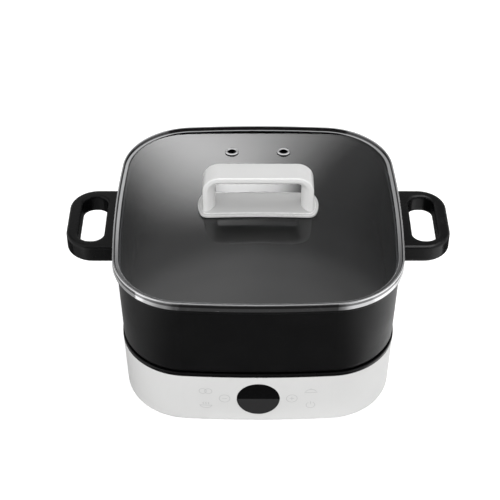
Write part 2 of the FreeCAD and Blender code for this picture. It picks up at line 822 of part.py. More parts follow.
def sensor_spring():
    """Round wire coil between the sleeve's floor and the cap's crown.

    Each half turn is a flat arc, tilted to climb half the pitch, and tangent to the next.
    """
    low, high = size("spring_low + spring_wire"), size("spring_top - spring_wire")
    half_turns = round((high - low) / size("spring_pitch / 2"))
    climb = (high - low) / half_turns
    tilt = math.degrees(math.atan2(climb / 2, size("spring_radius")))
    halves = []
    for i in range(half_turns):
        side = 1 - 2 * (i % 2)
        leaning = at(0, 0, low + (i + 0.5) * climb, Vector(0, 1, 0), side * tilt)
        turned_round = at(0, 0, 0, angle=180 * (i % 2))
        halves.append(bent_rod("spring_half", f"spring_radius / cos({tilt} deg)", "spring_wire", "180",
                               leaning * turned_round))
    return fused("sensor_spring", halves)


def thermistor():
    return turned("thermistor", [("0", "bead_low"), ("bead_radius - 1", "bead_low"),
                                 ("bead_radius", "bead_low + 1"), ("bead_radius", "plate_top - 1.5"),
                                 ("0", "plate_top - 1.5")])


def limit_thermostat():
    """Disc thermostat on the plate's underside, inside the heating ring."""
    body = turned("limit_thermostat", [
        ("0", "pan_floor + 2"), ("7.6", "pan_floor + 2"), ("7.6", "plate_low - 5.5"),
        ("8.4", "plate_low - 5.5"), ("8.4", "plate_low - 0.4"), ("8", "plate_low"), ("0", "plate_low")])
    body.Placement = at(size("tube_ring_radius") / 2 + 6, 0, 0)
    return body


def thermal_fuse():
    """Small cylindrical fuse clipped under the plate."""
    fuse = doc.addObject("Part::Cylinder", "thermal_fuse")
    fuse.Label = "thermal_fuse"
    bind(fuse, "Radius", "2.2")
    bind(fuse, "Height", "14")
    fuse.Placement = at(-37, -7, size("plate_low - 2.4"), Vector(1, 0, 0), -90)
    doc.recompute()
    return fuse


# ---- base: display, electronics and power inlet ---------------------------------------------

def panel_spots():
    """Places of the six touch symbols on the front, as sums for X and Z."""
    spots = [(f"{sign}pad_near", "window_level") for sign in ("0 - ", "")]
    for sign in ("0 - ", ""):
        spots += [(f"{sign}pad_far", f"window_level {rise} pad_rise") for rise in ("-", "+")]
    return spots


def display_lens():
    """Black window: a plug flush with the leaning wall, held by its flange inside."""
    lens = turned("display_lens", [
        ("0", "0"), ("window_radius", "0"), ("window_radius", "lens_thick"),
        ("lens_flange", "lens_thick"), ("lens_flange", "lens_thick + lens_flange_thick"),
        ("0", "lens_thick + lens_flange_thick")])
    # The wall stands this far from the middle at the window's height.
    front = size("outline_half - housing_inset - (housing_top - window_level) * tan(housing_lean * 1 deg)")
    lens.Placement = at(0, -front, size("window_level"), Vector(1, 0, 0), -90 - size("housing_lean"))
    return lens


def display_board():
    body = new_body("display_board")
    face = new_sketch(body, "XZ_Plane", "board_face")
    add_rectangle(face, "board_width", "board_height", "0", "window_level - 2")
    pad(body, face, "board_thick", down=True)
    holes(body, "board_face", "board_hole", peg_places(), "board_thick", "XZ_Plane", up=False)
    return body


def display_module():
    """Segment display between the board and the window."""
    body = new_body("display_module")
    face = new_sketch(body, "XZ_Plane", "board_face")
    add_rectangle(face, "module_width", "module_height", "0", "window_level")
    pad(body, face, "1.6")
    return body


def touch_pads():
    """Conductive pads from the display board to the curved wall, one behind each touch symbol."""
    one = doc.addObject("Part::Cylinder", "touch_pad")
    bind(one, "Radius", "pad_radius")
    bind(one, "Height", "panel_inner - board_face")
    doc.recompute()
    places = [at(x, -size("board_face"), z, Vector(1, 0, 0), 90) for x, z in measured(panel_spots())]
    inside = slab("pad_limit", "wall_inset + 0.1", "ledge_top", "housing_top")
    return common("touch_pads", copies("pad_blanks", one, places), inside)


def board_screws():
    """Screws of the display board and of the power board."""
    one = screw("board_screw", "2.8", "1.6", "peg_pilot", "5.4")
    back = -size("board_face - board_thick")
    top = size("power_board_low + board_thick")
    places = [at(x, back, z, Vector(1, 0, 0), 90) for x, z in measured(peg_places())]
    places += [at(x, y, top, Vector(1, 0, 0), 180) for x, y in measured(standoff_places())]
    return copies("board_screws", one, places)


def power_board():
    body = new_body("power_board")
    outline = new_sketch(body, level="power_board_low")
    add_rectangle(outline, "power_board_width", "power_board_depth", "power_board_x", "power_board_y")
    pad(body, outline, "board_thick")
    holes(body, "power_board_low", "board_hole", standoff_places(), "board_thick")
    return body


def board_block(label, width, depth, height, x, y):
    """A rectangular component that stands on the power board, its top edges rounded."""
    body = new_body(label)
    foot = new_sketch(body, level="power_board_low + board_thick")
    add_rectangle(foot, width, depth, x, y)
    block = pad(body, foot, height)
    top = size(f"power_board_low + board_thick + {height}")
    fillet(body, block, lies_at(top), "0.8")
    return body


def power_relay():
    return board_block("power_relay", "21", "16", "16", "-38", "74")


def mains_capacitor():
    return board_block("mains_capacitor", "26", "10", "18", "36", "82")


def power_transformer():
    """Switching transformer: winding block with a taller ferrite core across it."""
    body = new_body("power_transformer")
    winding = new_sketch(body, level="power_board_low + board_thick")
    add_rectangle(winding, "20", "16", "transformer_x", "transformer_y")
    pad(body, winding, "13")
    core = new_sketch(body, level="power_board_low + board_thick")
    add_rectangle(core, "10", "22", "transformer_x", "transformer_y")
    pad(body, core, "16")
    return body


def ribbon_cable():
    """Flat lead from the display board, down to the cover's level and back to the power board."""
    body = new_body("ribbon_cable")
    path = new_sketch(body, "YZ_Plane")
    back = "0 - board_face + board_thick"
    level = "power_board_low + board_thick + 1"
    corners_of_path = [(f"{back} + 0.4", "24"), (f"{back} + 8", "24"), (f"{back} + 22", "10"),
                       ("power_board_y - power_board_depth / 2 - 22", "10"),
                       ("power_board_y - power_board_depth / 2 - 6", level),
                       ("power_board_y - power_board_depth / 2 + 4", level)]
    half = "ribbon_thick / 2"
    under = [(y, f"{z} - {half}") for y, z in corners_of_path]
    over = [(y, f"{z} + {half}") for y, z in reversed(corners_of_path)]
    add_polygon(path, under + over)
    strip = pad(body, path, "ribbon_width")
    strip.Midplane = True
    doc.recompute()
    return body


def lead_wires(label, routes):
    """Round insulated leads: straight runs joined by tangent arcs through each route's points."""
    radius = size("lead_radius")
    tubes = []
    for route in routes:
        points = [Vector(*spot) for spot in route]
        edges = []
        start = points[0]
        for before, bend, after in zip(points, points[1:], points[2:]):
            inward = (before - bend).normalize()
            outward = (after - bend).normalize()
            half_turn = (math.pi - inward.getAngle(outward)) / 2
            shorter = min((before - bend).Length, (after - bend).Length)
            back = 0.45 * shorter
            bulge = back * math.tan(half_turn / 2)
            middle = bend + (inward + outward).normalize() * bulge
            edges.append(Part.LineSegment(start, bend + inward * back).toShape())
            edges.append(Part.Arc(bend + inward * back, middle, bend + outward * back).toShape())
            start = bend + outward * back
        edges.append(Part.LineSegment(start, points[-1]).toShape())
        section = Part.Wire(Part.Circle(points[0], points[1] - points[0], radius).toShape())
        tubes.append(Part.Wire(edges).makePipeShell([section], True, False))
    leads = doc.addObject("Part::Feature", label)
    leads.Label = label
    leads.Shape = Part.makeCompound(tubes)
    return leads


def heater_leads():
    """From the heating tube's two pins down to the front edge of the power board."""
    pin_low = size("terminal_low - terminal_pin")
    top = size("power_board_low + board_thick")
    edge_y = size("power_board_y - power_board_depth / 2")
    routes = []
    for x, y in measured(tube_end_places()):
        routes.append([(x, y, pin_low - 0.1), (x, y, pin_low - 7), (x * 1.3, y + 24, pin_low - 9),
                       (x * 1.6, edge_y - 18, pin_low - 8), (x * 1.5, edge_y + 6, top + 9),
                       (x * 1.5, edge_y + 6, top + 0.1)])
    return lead_wires("heater_leads", routes)


def mains_leads():
    """From the inlet's tabs down to the power board."""
    back = size("inlet_face - inlet_depth - tab_length - 0.1")
    level = size("inlet_level")
    top = size("power_board_low + board_thick")
    routes = []
    for side in (-1, 1):
        x = side * size("pin_x")
        z = level - size("pin_rise")
        routes.append([(x, back, z), (x, back - 9, z), (x * 1.5, back - 27, z - 2),
                       (x * 1.5, back - 27, top + 0.1)])
    return lead_wires("mains_leads", routes)


def power_inlet():
    """Appliance inlet with a recessed socket; the lower two corners of its body are cut off."""
    body = new_body("power_inlet")
    left, right = "0 - inlet_width / 2", "inlet_width / 2"
    low, high = "inlet_level - inlet_height / 2", "inlet_level + inlet_height / 2"

    def chamfered(sketch, trim):
        add_polygon(sketch, [
            (f"{left} + {trim}", f"{low} + inlet_corner"), (f"{left} + inlet_corner", f"{low} + {trim}"),
            (f"{right} - inlet_corner", f"{low} + {trim}"), (f"{right} - {trim}", f"{low} + inlet_corner"),
            (f"{right} - {trim}", f"{high} - {trim}"), (f"{left} + {trim}", f"{high} - {trim}")])

    outer = new_sketch(body, "XZ_Plane", "0 - inlet_face")
    chamfered(outer, "0")
    pad(body, outer, "inlet_depth")
    flange = new_sketch(body, "XZ_Plane", "0 - inlet_face")
    add_rectangle(flange, "inlet_flange_width", "inlet_flange_height", "0", "inlet_level")
    rim = pad(body, flange, "inlet_flange_thick")
    half_width = size("inlet_flange_width / 2")

    def flange_corner(edge):
        box = edge.BoundBox
        return box.XLength < 0.01 and box.ZLength < 0.01 and abs(abs(box.XMin) - half_width) < 0.01
    fillet(body, rim, flange_corner, "3")
    socket = new_sketch(body, "XZ_Plane", "0 - inlet_face")
    chamfered(socket, "inlet_wall")
    pocket(body, socket, "socket_depth", up=True)
    holes(body, "0 - inlet_face", "post_pilot + 0.1", either_side("inlet_screw_x", "inlet_level"),
          "inlet_flange_thick", "XZ_Plane")
    pins = new_sketch(body, "XZ_Plane", "0 - inlet_face + socket_depth")
    for x, z in inlet_pin_spots():
        add_rectangle(pins, "pin_thick", "pin_width", x, z)
    pocket(body, pins, "inlet_depth", up=True)
    return body


def inlet_pin_spots():
    """Line, neutral and the middle earth pin."""
    return [("0 - pin_x", "inlet_level - pin_rise"), ("pin_x", "inlet_level - pin_rise"),
            ("0", "inlet_level + pin_rise")]


def inlet_pins():
    """Three flat blades through the socket's floor, with tabs behind it."""
    back = size("inlet_face - inlet_depth - tab_length")
    reach = "tab_length + inlet_depth - socket_depth + pin_length"
    blade = new_body("inlet_blade")
    section = new_sketch(blade, "XZ_Plane")
    add_rectangle(section, "pin_thick", "pin_width")
    shank = pad(blade, section, reach, down=True)
    tip = size(reach)

    def at_tip(edge):
        box = edge.BoundBox
        return abs(box.YMin - tip) < 0.01 and abs(box.YMax - tip) < 0.01 and box.ZLength > 0.1
    fillet(blade, shank, at_tip, "0.6")
    places = [at(size(x), back, size(z)) for x, z in inlet_pin_spots()]
    return copies("inlet_pins", blade, places)


def inlet_screws():
    one = screw("inlet_screw", "3", "1.6", "post_pilot", "6")
    face = size("inlet_face")
    places = [at(x, face, z, Vector(1, 0, 0), 90)
              for x, z in measured(either_side("inlet_screw_x", "inlet_level"))]
    return copies("inlet_screws", one, places)


# ---- pot ------------------------------------------------------------------------------------

def pot_body():
    """Cast pot: rounded floor edge, contact disc underneath, rim flange and handle bosses."""
    body = new_body("pot_blank")
    wall = leaning_block(body, "pot_inset", "pot_low", "rim_top", "pot_draft")
    fillet(body, wall, lies_at(size("pot_low")), "pot_edge")
    rim = new_sketch(body, level="rim_low")
    add_outline(rim, "rim_inset")
    flange = pad(body, rim, "rim_top - rim_low")
    outer = size("outline_half - rim_inset") - 1
    flange = fillet(body, flange, lies_at(size("rim_top"), low=outer), "rim_edge")
    fillet(body, flange, lies_at(size("rim_low"), low=outer), "rim_edge")
    studs(body, "pot_seat", "contact_radius", [("0", "0")], "pot_low - pot_seat + 0.5")
    studs(body, "0 - lug_reach", "lug_radius", lug_places(), "2 * lug_reach", "YZ_Plane")
    holes(body, "0 - lug_reach", "post_pilot", lug_places(), "lug_pilot_depth", "YZ_Plane")
    holes(body, "lug_reach", "post_pilot", lug_places(), "lug_pilot_depth", "YZ_Plane", up=False)

    hollow = new_body("pot_hollow")
    inside = leaning_block(hollow, "pot_inset + pot_wall", "pot_floor", "rim_top + 1", "pot_draft")
    fillet(hollow, inside, lies_at(size("pot_floor")), "pot_inner_edge")
    return cut("pot_body", body, [hollow])


def side_handle(label):
    """Moulded loop handle, drawn for the right side: root on the wall, finger hole and grip bar."""
    body = new_body(label)
    reach, half = size("handle_reach"), size("handle_half")
    plan = new_sketch(body, level="handle_low")
    add_rectangle(plan, "handle_reach - handle_root", "2 * handle_half", "(handle_reach + handle_root) / 2")
    block = pad(body, plan, "handle_top - handle_low")

    def outer_corner(edge):
        box = edge.BoundBox
        return box.ZLength > 10 and abs(box.XMin - reach) < 0.01
    block = fillet(body, block, outer_corner, "handle_corner")
    finger = new_sketch(body, level="handle_top")
    add_rounded_rectangle(finger, "handle_reach - grip_width - finger_near", "2 * finger_half",
                          "finger_corner", "(handle_reach - grip_width + finger_near) / 2")
    loop = pocket(body, finger, "handle_top - handle_low")

    def flat(box):
        return box.ZLength < 0.01

    def outer_edge(edge):
        box = edge.BoundBox
        return flat(box) and (max(box.YMax, -box.YMin) > half - 0.1 or box.XMin > reach - 0.01)

    def finger_edge(edge):
        box = edge.BoundBox
        within = max(box.YMax, -box.YMin) < size("finger_half") + 0.1
        return flat(box) and within and size("finger_near") - 1 < box.XMin and box.XMax < reach - 8
    loop = fillet(body, loop, outer_edge, "handle_edge")
    fillet(body, loop, finger_edge, "finger_edge")

    holes(body, "finger_near + 1", "head_well", lug_places(), "3.2", "YZ_Plane", up=False)
    holes(body, "finger_near + 1", "post_pilot + 0.3", lug_places(), "20", "YZ_Plane", up=False)
    holes(body, "lug_reach + 0.4", "lug_radius + 0.3", lug_places(), "20", "YZ_Plane", up=False)

    # The root's inner face follows the pot's wall.
    wall = new_sketch(body, level="handle_top + 1")
    add_circle(wall, "side_radius - pot_inset + handle_gap", f"0 - {SIDE_OFFSET}")
    pocket(body, wall, "handle_top - handle_low + 2")
    return body


def side_handles():
    """The right handle as drawn, and its copy turned round the pot to the left."""
    right = side_handle("handle_right")
    left = side_handle("handle_left")
    left.Placement = at(0, 0, 0, angle=180)
    return [right, left]


def handle_screws():
    one = screw("handle_screw", "3.9", "2.2", "post_pilot", "6.8")
    seat = size("finger_near") - 2.2
    places = [at(side * seat, y, z, Vector(0, 1, 0), -90 * side)
              for side in (-1, 1) for y, z in measured(lug_places())]
    return copies("handle_screws", one, places)


# ---- lid ------------------------------------------------------------------------------------

def turn_about(body, sketch, distance, angle):
    """Turn the sketch, half each way, about an upright axis at a distance along its X."""
    foot, head = Vector(distance, 0, 0), Vector(distance, size("lid_top"), 0)
    axis = sketch.addGeometry(Part.LineSegment(foot, head), True)
    sketch.addConstraint(Sketcher.Constraint("Vertical", axis))
    place_point(sketch, axis, 1, str(distance), "0")
    dimension(sketch, "DistanceY", axis, 2, text="lid_top")
    turn = body.newObject("PartDesign::Revolution", f"{body.Label}_turn")
    turn.Profile = sketch
    turn.ReferenceAxis = (sketch, ["Axis0"])
    turn.Angle = math.degrees(angle)
    turn.Midplane = True
    doc.recompute()
    return turn


def outline_sweep(label, points):
    """A section carried round the outline: each side and corner arc is a turn about its centre.

    The section's points are pairs of inset and height.
    """
    centre, join = corner_centre()
    body = new_body(label)
    side = new_sketch(body, "YZ_Plane")
    add_polygon(side, [(f"{inset} - outline_half", level) for inset, level in points])
    side_turn = turn_about(body, side, size(SIDE_OFFSET), 2 * join)
    corner = new_sketch(body, "XZ_Plane")
    corner.AttachmentOffset = Placement(Vector(0, 0, 0), Rotation(Vector(0, 1, 0), -45))
    diagonal = centre * math.sqrt(2)
    add_polygon(corner, [(f"{diagonal} + corner_radius - ({inset})", level) for inset, level in points])
    corner_turn = turn_about(body, corner, diagonal, math.pi / 2 - 2 * join)
    ring = body.newObject("PartDesign::PolarPattern", f"{label}_ring")
    ring.Originals = [side_turn, corner_turn]
    ring.Axis = (side, ["V_Axis"])
    ring.Angle = 360
    ring.Occurrences = 4
    body.Tip = ring
    doc.recompute()
    return body


def lid_rim():
    """Formed steel rim: ridge, lip over the glass, ledge under it and a locating collar."""
    body = outline_sweep("lid_rim", [
        ("0 - skirt_flare", "skirt_low"), ("collar_inset", "skirt_low"),
        ("collar_inset", "collar_low"), ("collar_inset + rim_sheet", "collar_low"),
        ("collar_inset + rim_sheet", "skirt_low + rim_sheet"),
        ("rim_sheet", "skirt_low + rim_sheet"), ("rim_sheet", "lip_top - rim_sheet"),
        ("rim_lip", "lip_top - rim_sheet"), ("rim_lip", "lip_top"), ("ridge_width", "lip_top"),
        ("ridge_width", "lid_top"), ("0", "lid_top")])
    ridge = fillet(body, body.Tip, lies_at(size("lid_top")), "ridge_round")
    fillet(body, ridge, lies_at(size("lip_top")), "lip_round")
    return body


def rim_seal():
    """Silicone strip between the glass's edge and the rim."""
    low, high = "skirt_low + rim_sheet + 0.1", "lip_top - rim_sheet - 0.6"
    return outline_sweep("rim_seal", [
        ("glass_inset - 1.6", low), ("glass_inset - 0.1", low),
        ("glass_inset - 0.1", high), ("glass_inset - 1.2", high)])


def glass_level(x, y):
    """Height of the glass's upper face: a shallow pillow, level along the rim."""
    span = size("glass_span")
    return size("glass_edge_level") + size("glass_rise") * (1 - (x / span) ** 2) * (1 - (y / span) ** 2)


def on_glass(x, y, shift=0.0):
    """A placement whose Z axis is the glass's normal, moved along it from the upper face."""
    step = 1.0
    slope_x = (glass_level(x + step, y) - glass_level(x - step, y)) / (2 * step)
    slope_y = (glass_level(x, y + step) - glass_level(x, y - step)) / (2 * step)
    normal = Vector(-slope_x, -slope_y, 1).normalize()
    spot = Vector(x, y, glass_level(x, y)) + normal * shift
    return Placement(spot, Rotation(UP, normal))


def domed_slab(label, shift, thick):
    """A block between two copies of the glass's pillow surface, as a quadratic patch both ways."""
    reach = size("glass_patch")
    edge = 1 - (reach / size("glass_span")) ** 2
    weights = (edge, 2 - edge, edge)
    patch = Part.BezierSurface()
    patch.increase(2, 2)
    for i, across in enumerate(weights, 1):
        for j, along in enumerate(weights, 1):
            level = size("glass_edge_level") + size("glass_rise") * across * along + size(shift)
            patch.setPole(i, j, Vector((i - 2) * reach, (j - 2) * reach, level))
    block = doc.addObject("Part::Feature", label)
    block.Shape = patch.toShape().extrude(Vector(0, 0, -size(thick)))
    return block


def upright_hole(label, radius, x, y):
    """A tool that drills through the lid."""
    drill = doc.addObject("Part::Cylinder", label)
    bind(drill, "Radius", radius)
    bind(drill, "Height", "60")
    drill.Placement = at(x, y, size("lid_top") - 30)
    return drill


def lid_glass():
    """Smoked pillow-shaped pane with holes for the two vents and the handle's two screws."""
    pane = slab("glass_outline", "glass_inset", "skirt_low - 5", "lid_top + 15")
    block = domed_slab("glass_block", "0", "glass_thick")
    blank = common("glass_blank", pane, block)
    drills = []
    for side in (-1, 1):
        vent_spot = side * size("vent_x"), size("vent_y")
        drills.append(upright_hole("vent_drill", "vent_neck + 0.35", *vent_spot))
        drills.append(upright_hole("screw_drill", "3.2", side * size("handle_screw_x"), 0))
    return cut("lid_glass", blank, drills)


def add_bowed_oblong(sketch, inset):
    """Outline of the handle's plate: two straight sides, bowed ends and small corner arcs."""
    bow, corner = size(f"base_end_radius - {inset}"), size(f"base_corner - {inset}")
    half, depth = size(f"base_half - {inset}"), size(f"base_half_depth - {inset}")
    arch = half - bow
    corner_y = depth - corner
    corner_x = arch + math.sqrt((bow - corner) ** 2 - corner_y ** 2)
    lean = math.atan2(corner_y, corner_x - arch)

    def arc(x, y, radius, start, end):
        return Part.ArcOfCircle(Part.Circle(Vector(x, y, 0), UP, radius), start, end)
    quarter, flat = math.pi / 2, math.pi
    sketch.addGeometry([
        arc(arch, 0, bow, -lean, lean), arc(corner_x, corner_y, corner, lean, quarter),
        Part.LineSegment(Vector(corner_x, depth, 0), Vector(-corner_x, depth, 0)),
        arc(-corner_x, corner_y, corner, quarter, flat - lean),
        arc(-arch, 0, bow, flat - lean, flat + lean),
        arc(-corner_x, -corner_y, corner, flat + lean, flat + quarter),
        Part.LineSegment(Vector(-corner_x, -depth, 0), Vector(corner_x, -depth, 0)),
        arc(corner_x, -corner_y, corner, -quarter, -lean)])
    for i in range(8):
        sketch.addConstraint(Sketcher.Constraint("Tangent", i, 2, (i + 1) % 8, 1))
    for end, sign in ((0, ""), (4, "0 - ")):
        place_point(sketch, end, 3, f"{sign}(base_half - base_end_radius)", "0")
        dimension(sketch, "Radius", end, text=f"base_end_radius - {inset}")
    for i in (1, 3, 5, 7):
        dimension(sketch, "Radius", i, text=f"base_corner - {inset}")
    for line, sign in ((2, ""), (6, "0 - ")):
        sketch.addConstraint(Sketcher.Constraint("Horizontal", line))
        dimension(sketch, "DistanceY", line, 1, text=f"{sign}(base_half_depth - {inset})")


def plate_prism(label, inset):
    body = new_body(label)
    outline = new_sketch(body, level="lid_top - 5")
    add_bowed_oblong(outline, inset)
    pad(body, outline, "25")
    return body


def lid_handle_base():
    """White plate that follows the glass, with a raised field inside a narrow border."""
    lower = common("base_lower", plate_prism("base_outline", "0"),
                   domed_slab("base_block", "gasket_thick + base_thick", "base_thick"))
    upper = common("base_upper", plate_prism("field_outline", "base_border"),
                   domed_slab("field_block", "gasket_thick + base_thick + base_step", "base_step + 1"))
    plate = fused("base_plate", [lower, upper])
    drills = [upright_hole("base_drill", "2.7", side * size("handle_screw_x"), 0) for side in (-1, 1)]
    return cut("lid_handle_base", plate, drills)


def lid_handle_gasket():
    sheet_block = domed_slab("gasket_block", "gasket_thick", "gasket_thick")
    pad_shape = common("gasket_blank", plate_prism("gasket_outline", "gasket_margin"), sheet_block)
    drills = [upright_hole("gasket_drill", "2.9", side * size("handle_screw_x"), 0) for side in (-1, 1)]
    return cut("lid_handle_gasket", pad_shape, drills)


def lid_handle_grip():
    """Arched strap: flat outside, swollen towards the fingers, carried along one bent path."""
    body = new_body("grip_blank")
    path = new_sketch(body, "XZ_Plane")
    half, top, bend = size("grip_half"), size("grip_top"), size("grip_corner")
    foot = size("lid_top")
    left_bend = Part.Circle(Vector(bend - half, top - bend, 0), UP, bend)
    right_bend = Part.Circle(Vector(half - bend, top - bend, 0), UP, bend)
    path.addGeometry([
        Part.LineSegment(Vector(-half, foot, 0), Vector(-half, top - bend, 0)),
        Part.ArcOfCircle(left_bend, math.pi / 2, math.pi),
        Part.LineSegment(Vector(bend - half, top, 0), Vector(half - bend, top, 0)),
        Part.ArcOfCircle(right_bend, 0, math.pi / 2),
        Part.LineSegment(Vector(half, top - bend, 0), Vector(half, foot, 0))])
    path.addConstraint(Sketcher.Constraint("Tangent", 0, 2, 1, 2))
    path.addConstraint(Sketcher.Constraint("Tangent", 1, 1, 2, 1))
    path.addConstraint(Sketcher.Constraint("Tangent", 2, 2, 3, 2))
    path.addConstraint(Sketcher.Constraint("Tangent", 3, 1, 4, 1))
    place_point(path, 0, 1, "0 - grip_half", "lid_top")
    place_point(path, 4, 2, "grip_half", "lid_top")
    place_point(path, 1, 3, "grip_corner - grip_half", "grip_top - grip_corner")
    dimension(path, "DistanceX", 3, 3, text="grip_half - grip_corner")
    section = new_sketch(body, level="lid_top")
    edge, depth, swell = size("grip_edge"), size("grip_half_depth"), size("grip_swell")
    round_radius = (depth ** 2 + swell ** 2) / (2 * swell)
    spread = math.asin(depth / round_radius)
    belly = Vector(-half + edge + swell - round_radius, 0, 0)
    section.addGeometry([
        Part.ArcOfCircle(Part.Circle(belly, UP, round_radius), -spread, spread),
        Part.LineSegment(Vector(-half + edge, depth, 0), Vector(-half, depth, 0)),
        Part.LineSegment(Vector(-half, depth, 0), Vector(-half, -depth, 0)),
        Part.LineSegment(Vector(-half, -depth, 0), Vector(-half + edge, -depth, 0))])
    for i in range(4):
        section.addConstraint(Sketcher.Constraint("Coincident", i, 2, (i + 1) % 4, 1))
    for line, x, y in ((1, "grip_edge - grip_half", "grip_half_depth"),
                       (2, "0 - grip_half", "grip_half_depth"),
                       (3, "0 - grip_half", "0 - grip_half_depth")):
        place_point(section, line, 1, x, y)
    place_point(section, 3, 2, "grip_edge - grip_half", "0 - grip_half_depth")
    dimension(section, "Radius", 0, text="(grip_half_depth ^ 2 + grip_swell ^ 2) / (2 * grip_swell)")
    strap = body.newObject("PartDesign::AdditivePipe", "grip_strap")
    strap.Profile = section
    strap.Spine = path
    doc.recompute()

    def outer_edge(edge_line):
        box = edge_line.BoundBox
        mid = edge_line.valueAt((edge_line.FirstParameter + edge_line.LastParameter) / 2)
        return box.YLength < 0.01 and abs(abs(box.YMin) - depth) < 0.01 and box.ZMax > foot + 1 \
            and (abs(mid.x) > half - 0.1 or mid.z > top - 0.1 or
                 math.hypot(abs(mid.x) - half + bend, mid.z - top + bend) > bend - 0.1)
    fillet(body, strap, outer_edge, "grip_round")
    foot_block = domed_slab("foot_block", "gasket_thick + base_thick + base_step", "20")
    pilots = []
    for side in (-1, 1):
        pilot = doc.addObject("Part::Cylinder", "grip_pilot")
        bind(pilot, "Radius", "2")
        bind(pilot, "Height", "24")
        pilot.Placement = at(side * size("handle_screw_x"), 0, size("lid_top"))
        pilots.append(pilot)
    return cut("lid_handle_grip", body, [foot_block] + pilots)


def lid_handle_washers():
    one = turned("handle_washer", [("2.4", "0"), ("washer_radius", "0"), ("washer_radius", "washer_thick"),
                                   ("2.4", "washer_thick")])
    shift = -size("glass_thick + washer_thick + 0.1")
    return copies("lid_handle_washers", one,
                  [on_glass(side * size("handle_screw_x"), 0, shift) for side in (-1, 1)])


def lid_handle_screws():
    """Two screws up through the glass into the grip's legs."""
    one = screw("handle_bolt", "4.4", "2.4", "2", "18")
    reach = size("handle_screw_x")
    level = glass_level(reach, 0) - size("glass_thick + washer_thick + 0.4")
    return copies("lid_handle_screws", one, [at(side * reach, 0, level) for side in (-1, 1)])


def steam_vents():
    """Steel ferrules through the glass, one each side."""
    made = []
    for side, label in ((-1, "steam_vent_left"), (1, "steam_vent_right")):
        vent = turned(label, [
            ("vent_bore", "0 - glass_thick - 1.6"), ("vent_neck", "0 - glass_thick - 1.6"),
            ("vent_neck", "0"), ("vent_flange", "0"), ("vent_flange", "vent_flange_thick - 0.7"),
            ("vent_flange - 0.7", "vent_flange_thick"), ("vent_bore + 0.6", "vent_flange_thick"),
            ("vent_bore", "vent_flange_thick - 0.6")])
        vent.Placement = on_glass(side * size("vent_x"), size("vent_y"), 0.05)
        made.append(vent)
    return made


def vent_rings():
    one = turned("vent_nut", [("vent_neck", "0"), ("vent_ring", "0"), ("vent_ring", "1.3"),
                              ("vent_neck", "1.3")])
    shift = -size("glass_thick") - 1.4
    return copies("vent_rings", one,
                  [on_glass(side * size("vent_x"), size("vent_y"), shift) for side in (-1, 1)])


# ---- write the sub-parts --------------------------------------------------------------------

BUILDERS = (
    base_housing, top_deck, bottom_cover, feet, cover_screws,
    heating_plate, heating_tube, heat_pan, pan_screws, plate_screws,
    sensor_sleeve, sensor_cap, sensor_spring, thermistor, limit_thermostat, thermal_fuse,
    display_lens, display_board, display_module, touch_pads, board_screws,
    power_board, power_relay, mains_capacitor, power_transformer,
    ribbon_cable, heater_leads, mains_leads, power_inlet, inlet_pins, inlet_screws,
    pot_body, side_handles, handle_screws,
    lid_rim, rim_seal, lid_glass, lid_handle_base, lid_handle_gasket, lid_handle_grip,
    lid_handle_washers, lid_handle_screws, steam_vents, vent_rings,
)


def build_all():
    """Every sub-part, checked."""
    made = []
    for builder in BUILDERS:
        result = builder()
        made += result if isinstance(result, list) else [result]
    doc.recompute()
    failed = [thing.Label for thing in doc.Objects if {"Invalid", "Error"} & set(thing.State)]
    for piece in made:
        shape = piece.Shape
        if shape.isNull() or not shape.isValid() or not shape.Solids:
            failed.append(piece.Label)
    if failed:
        raise RuntimeError(f"failed: {sorted(set(failed))}")
    return made


os.makedirs("parts", exist_ok=True)
for piece in build_all():
    piece.Shape.exportStep(f"parts/{piece.Label}.step")
    print(piece.Label, len(piece.Shape.Solids))
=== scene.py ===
"""Electric hot pot with lid: the finishes, printed marks and small fasteners of the model, and the
studio that it is shown in. Every length is in metres, in the frame of the packed part."""

import math

import bmesh
import bpy
from bpy.props import FloatProperty, FloatVectorProperty, PointerProperty
from mathutils import Matrix, Vector
from mathutils.bvhtree import BVHTree


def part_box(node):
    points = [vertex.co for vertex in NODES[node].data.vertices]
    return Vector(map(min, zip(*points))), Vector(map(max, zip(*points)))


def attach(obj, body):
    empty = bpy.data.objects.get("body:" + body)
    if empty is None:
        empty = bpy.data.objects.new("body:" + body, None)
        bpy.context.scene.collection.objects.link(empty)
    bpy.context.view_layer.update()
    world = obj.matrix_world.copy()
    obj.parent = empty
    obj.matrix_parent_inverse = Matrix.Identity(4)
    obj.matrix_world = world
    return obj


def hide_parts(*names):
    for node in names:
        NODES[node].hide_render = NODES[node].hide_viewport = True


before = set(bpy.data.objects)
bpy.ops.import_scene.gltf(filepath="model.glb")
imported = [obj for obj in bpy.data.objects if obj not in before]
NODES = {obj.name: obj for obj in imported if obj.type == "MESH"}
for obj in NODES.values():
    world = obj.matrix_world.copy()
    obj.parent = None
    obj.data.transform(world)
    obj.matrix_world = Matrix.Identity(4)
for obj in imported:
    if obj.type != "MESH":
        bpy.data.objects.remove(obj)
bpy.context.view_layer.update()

bl_info = {
    "name": "Electric hot pot finishes",
    "version": (1, 0, 0),
    "blender": (4, 5, 0),
    "location": "3D View > Sidebar > Hot pot",
    "description": "Finishes, printed marks, screws and studio of the electric hot pot",
    "category": "Material",
}

# The outline that the rim, pot and base share: half its width and the radii of its arcs.
HALF_WIDTH = 0.1449
SIDE_RADIUS = 1.091
CORNER_RADIUS = 0.0728

# Sockets of the Mix node, which has a pair for each kind of value under the same names.
MIX_SHARE = 0
MIX_NUMBERS = (2, 3)
MIX_COLOURS = (6, 7)
MIXED_NUMBER = 0
MIXED_COLOUR = 2

WHITE = (1.0, 1.0, 1.0, 1.0)
BLACK = (0.0, 0.0, 0.0, 1.0)

# What a point is multiplied by to drop its height.
LEVEL_PLANE = (1.0, 1.0, 0.0)


# ---- shader nodes ---------------------------------------------------------------------------

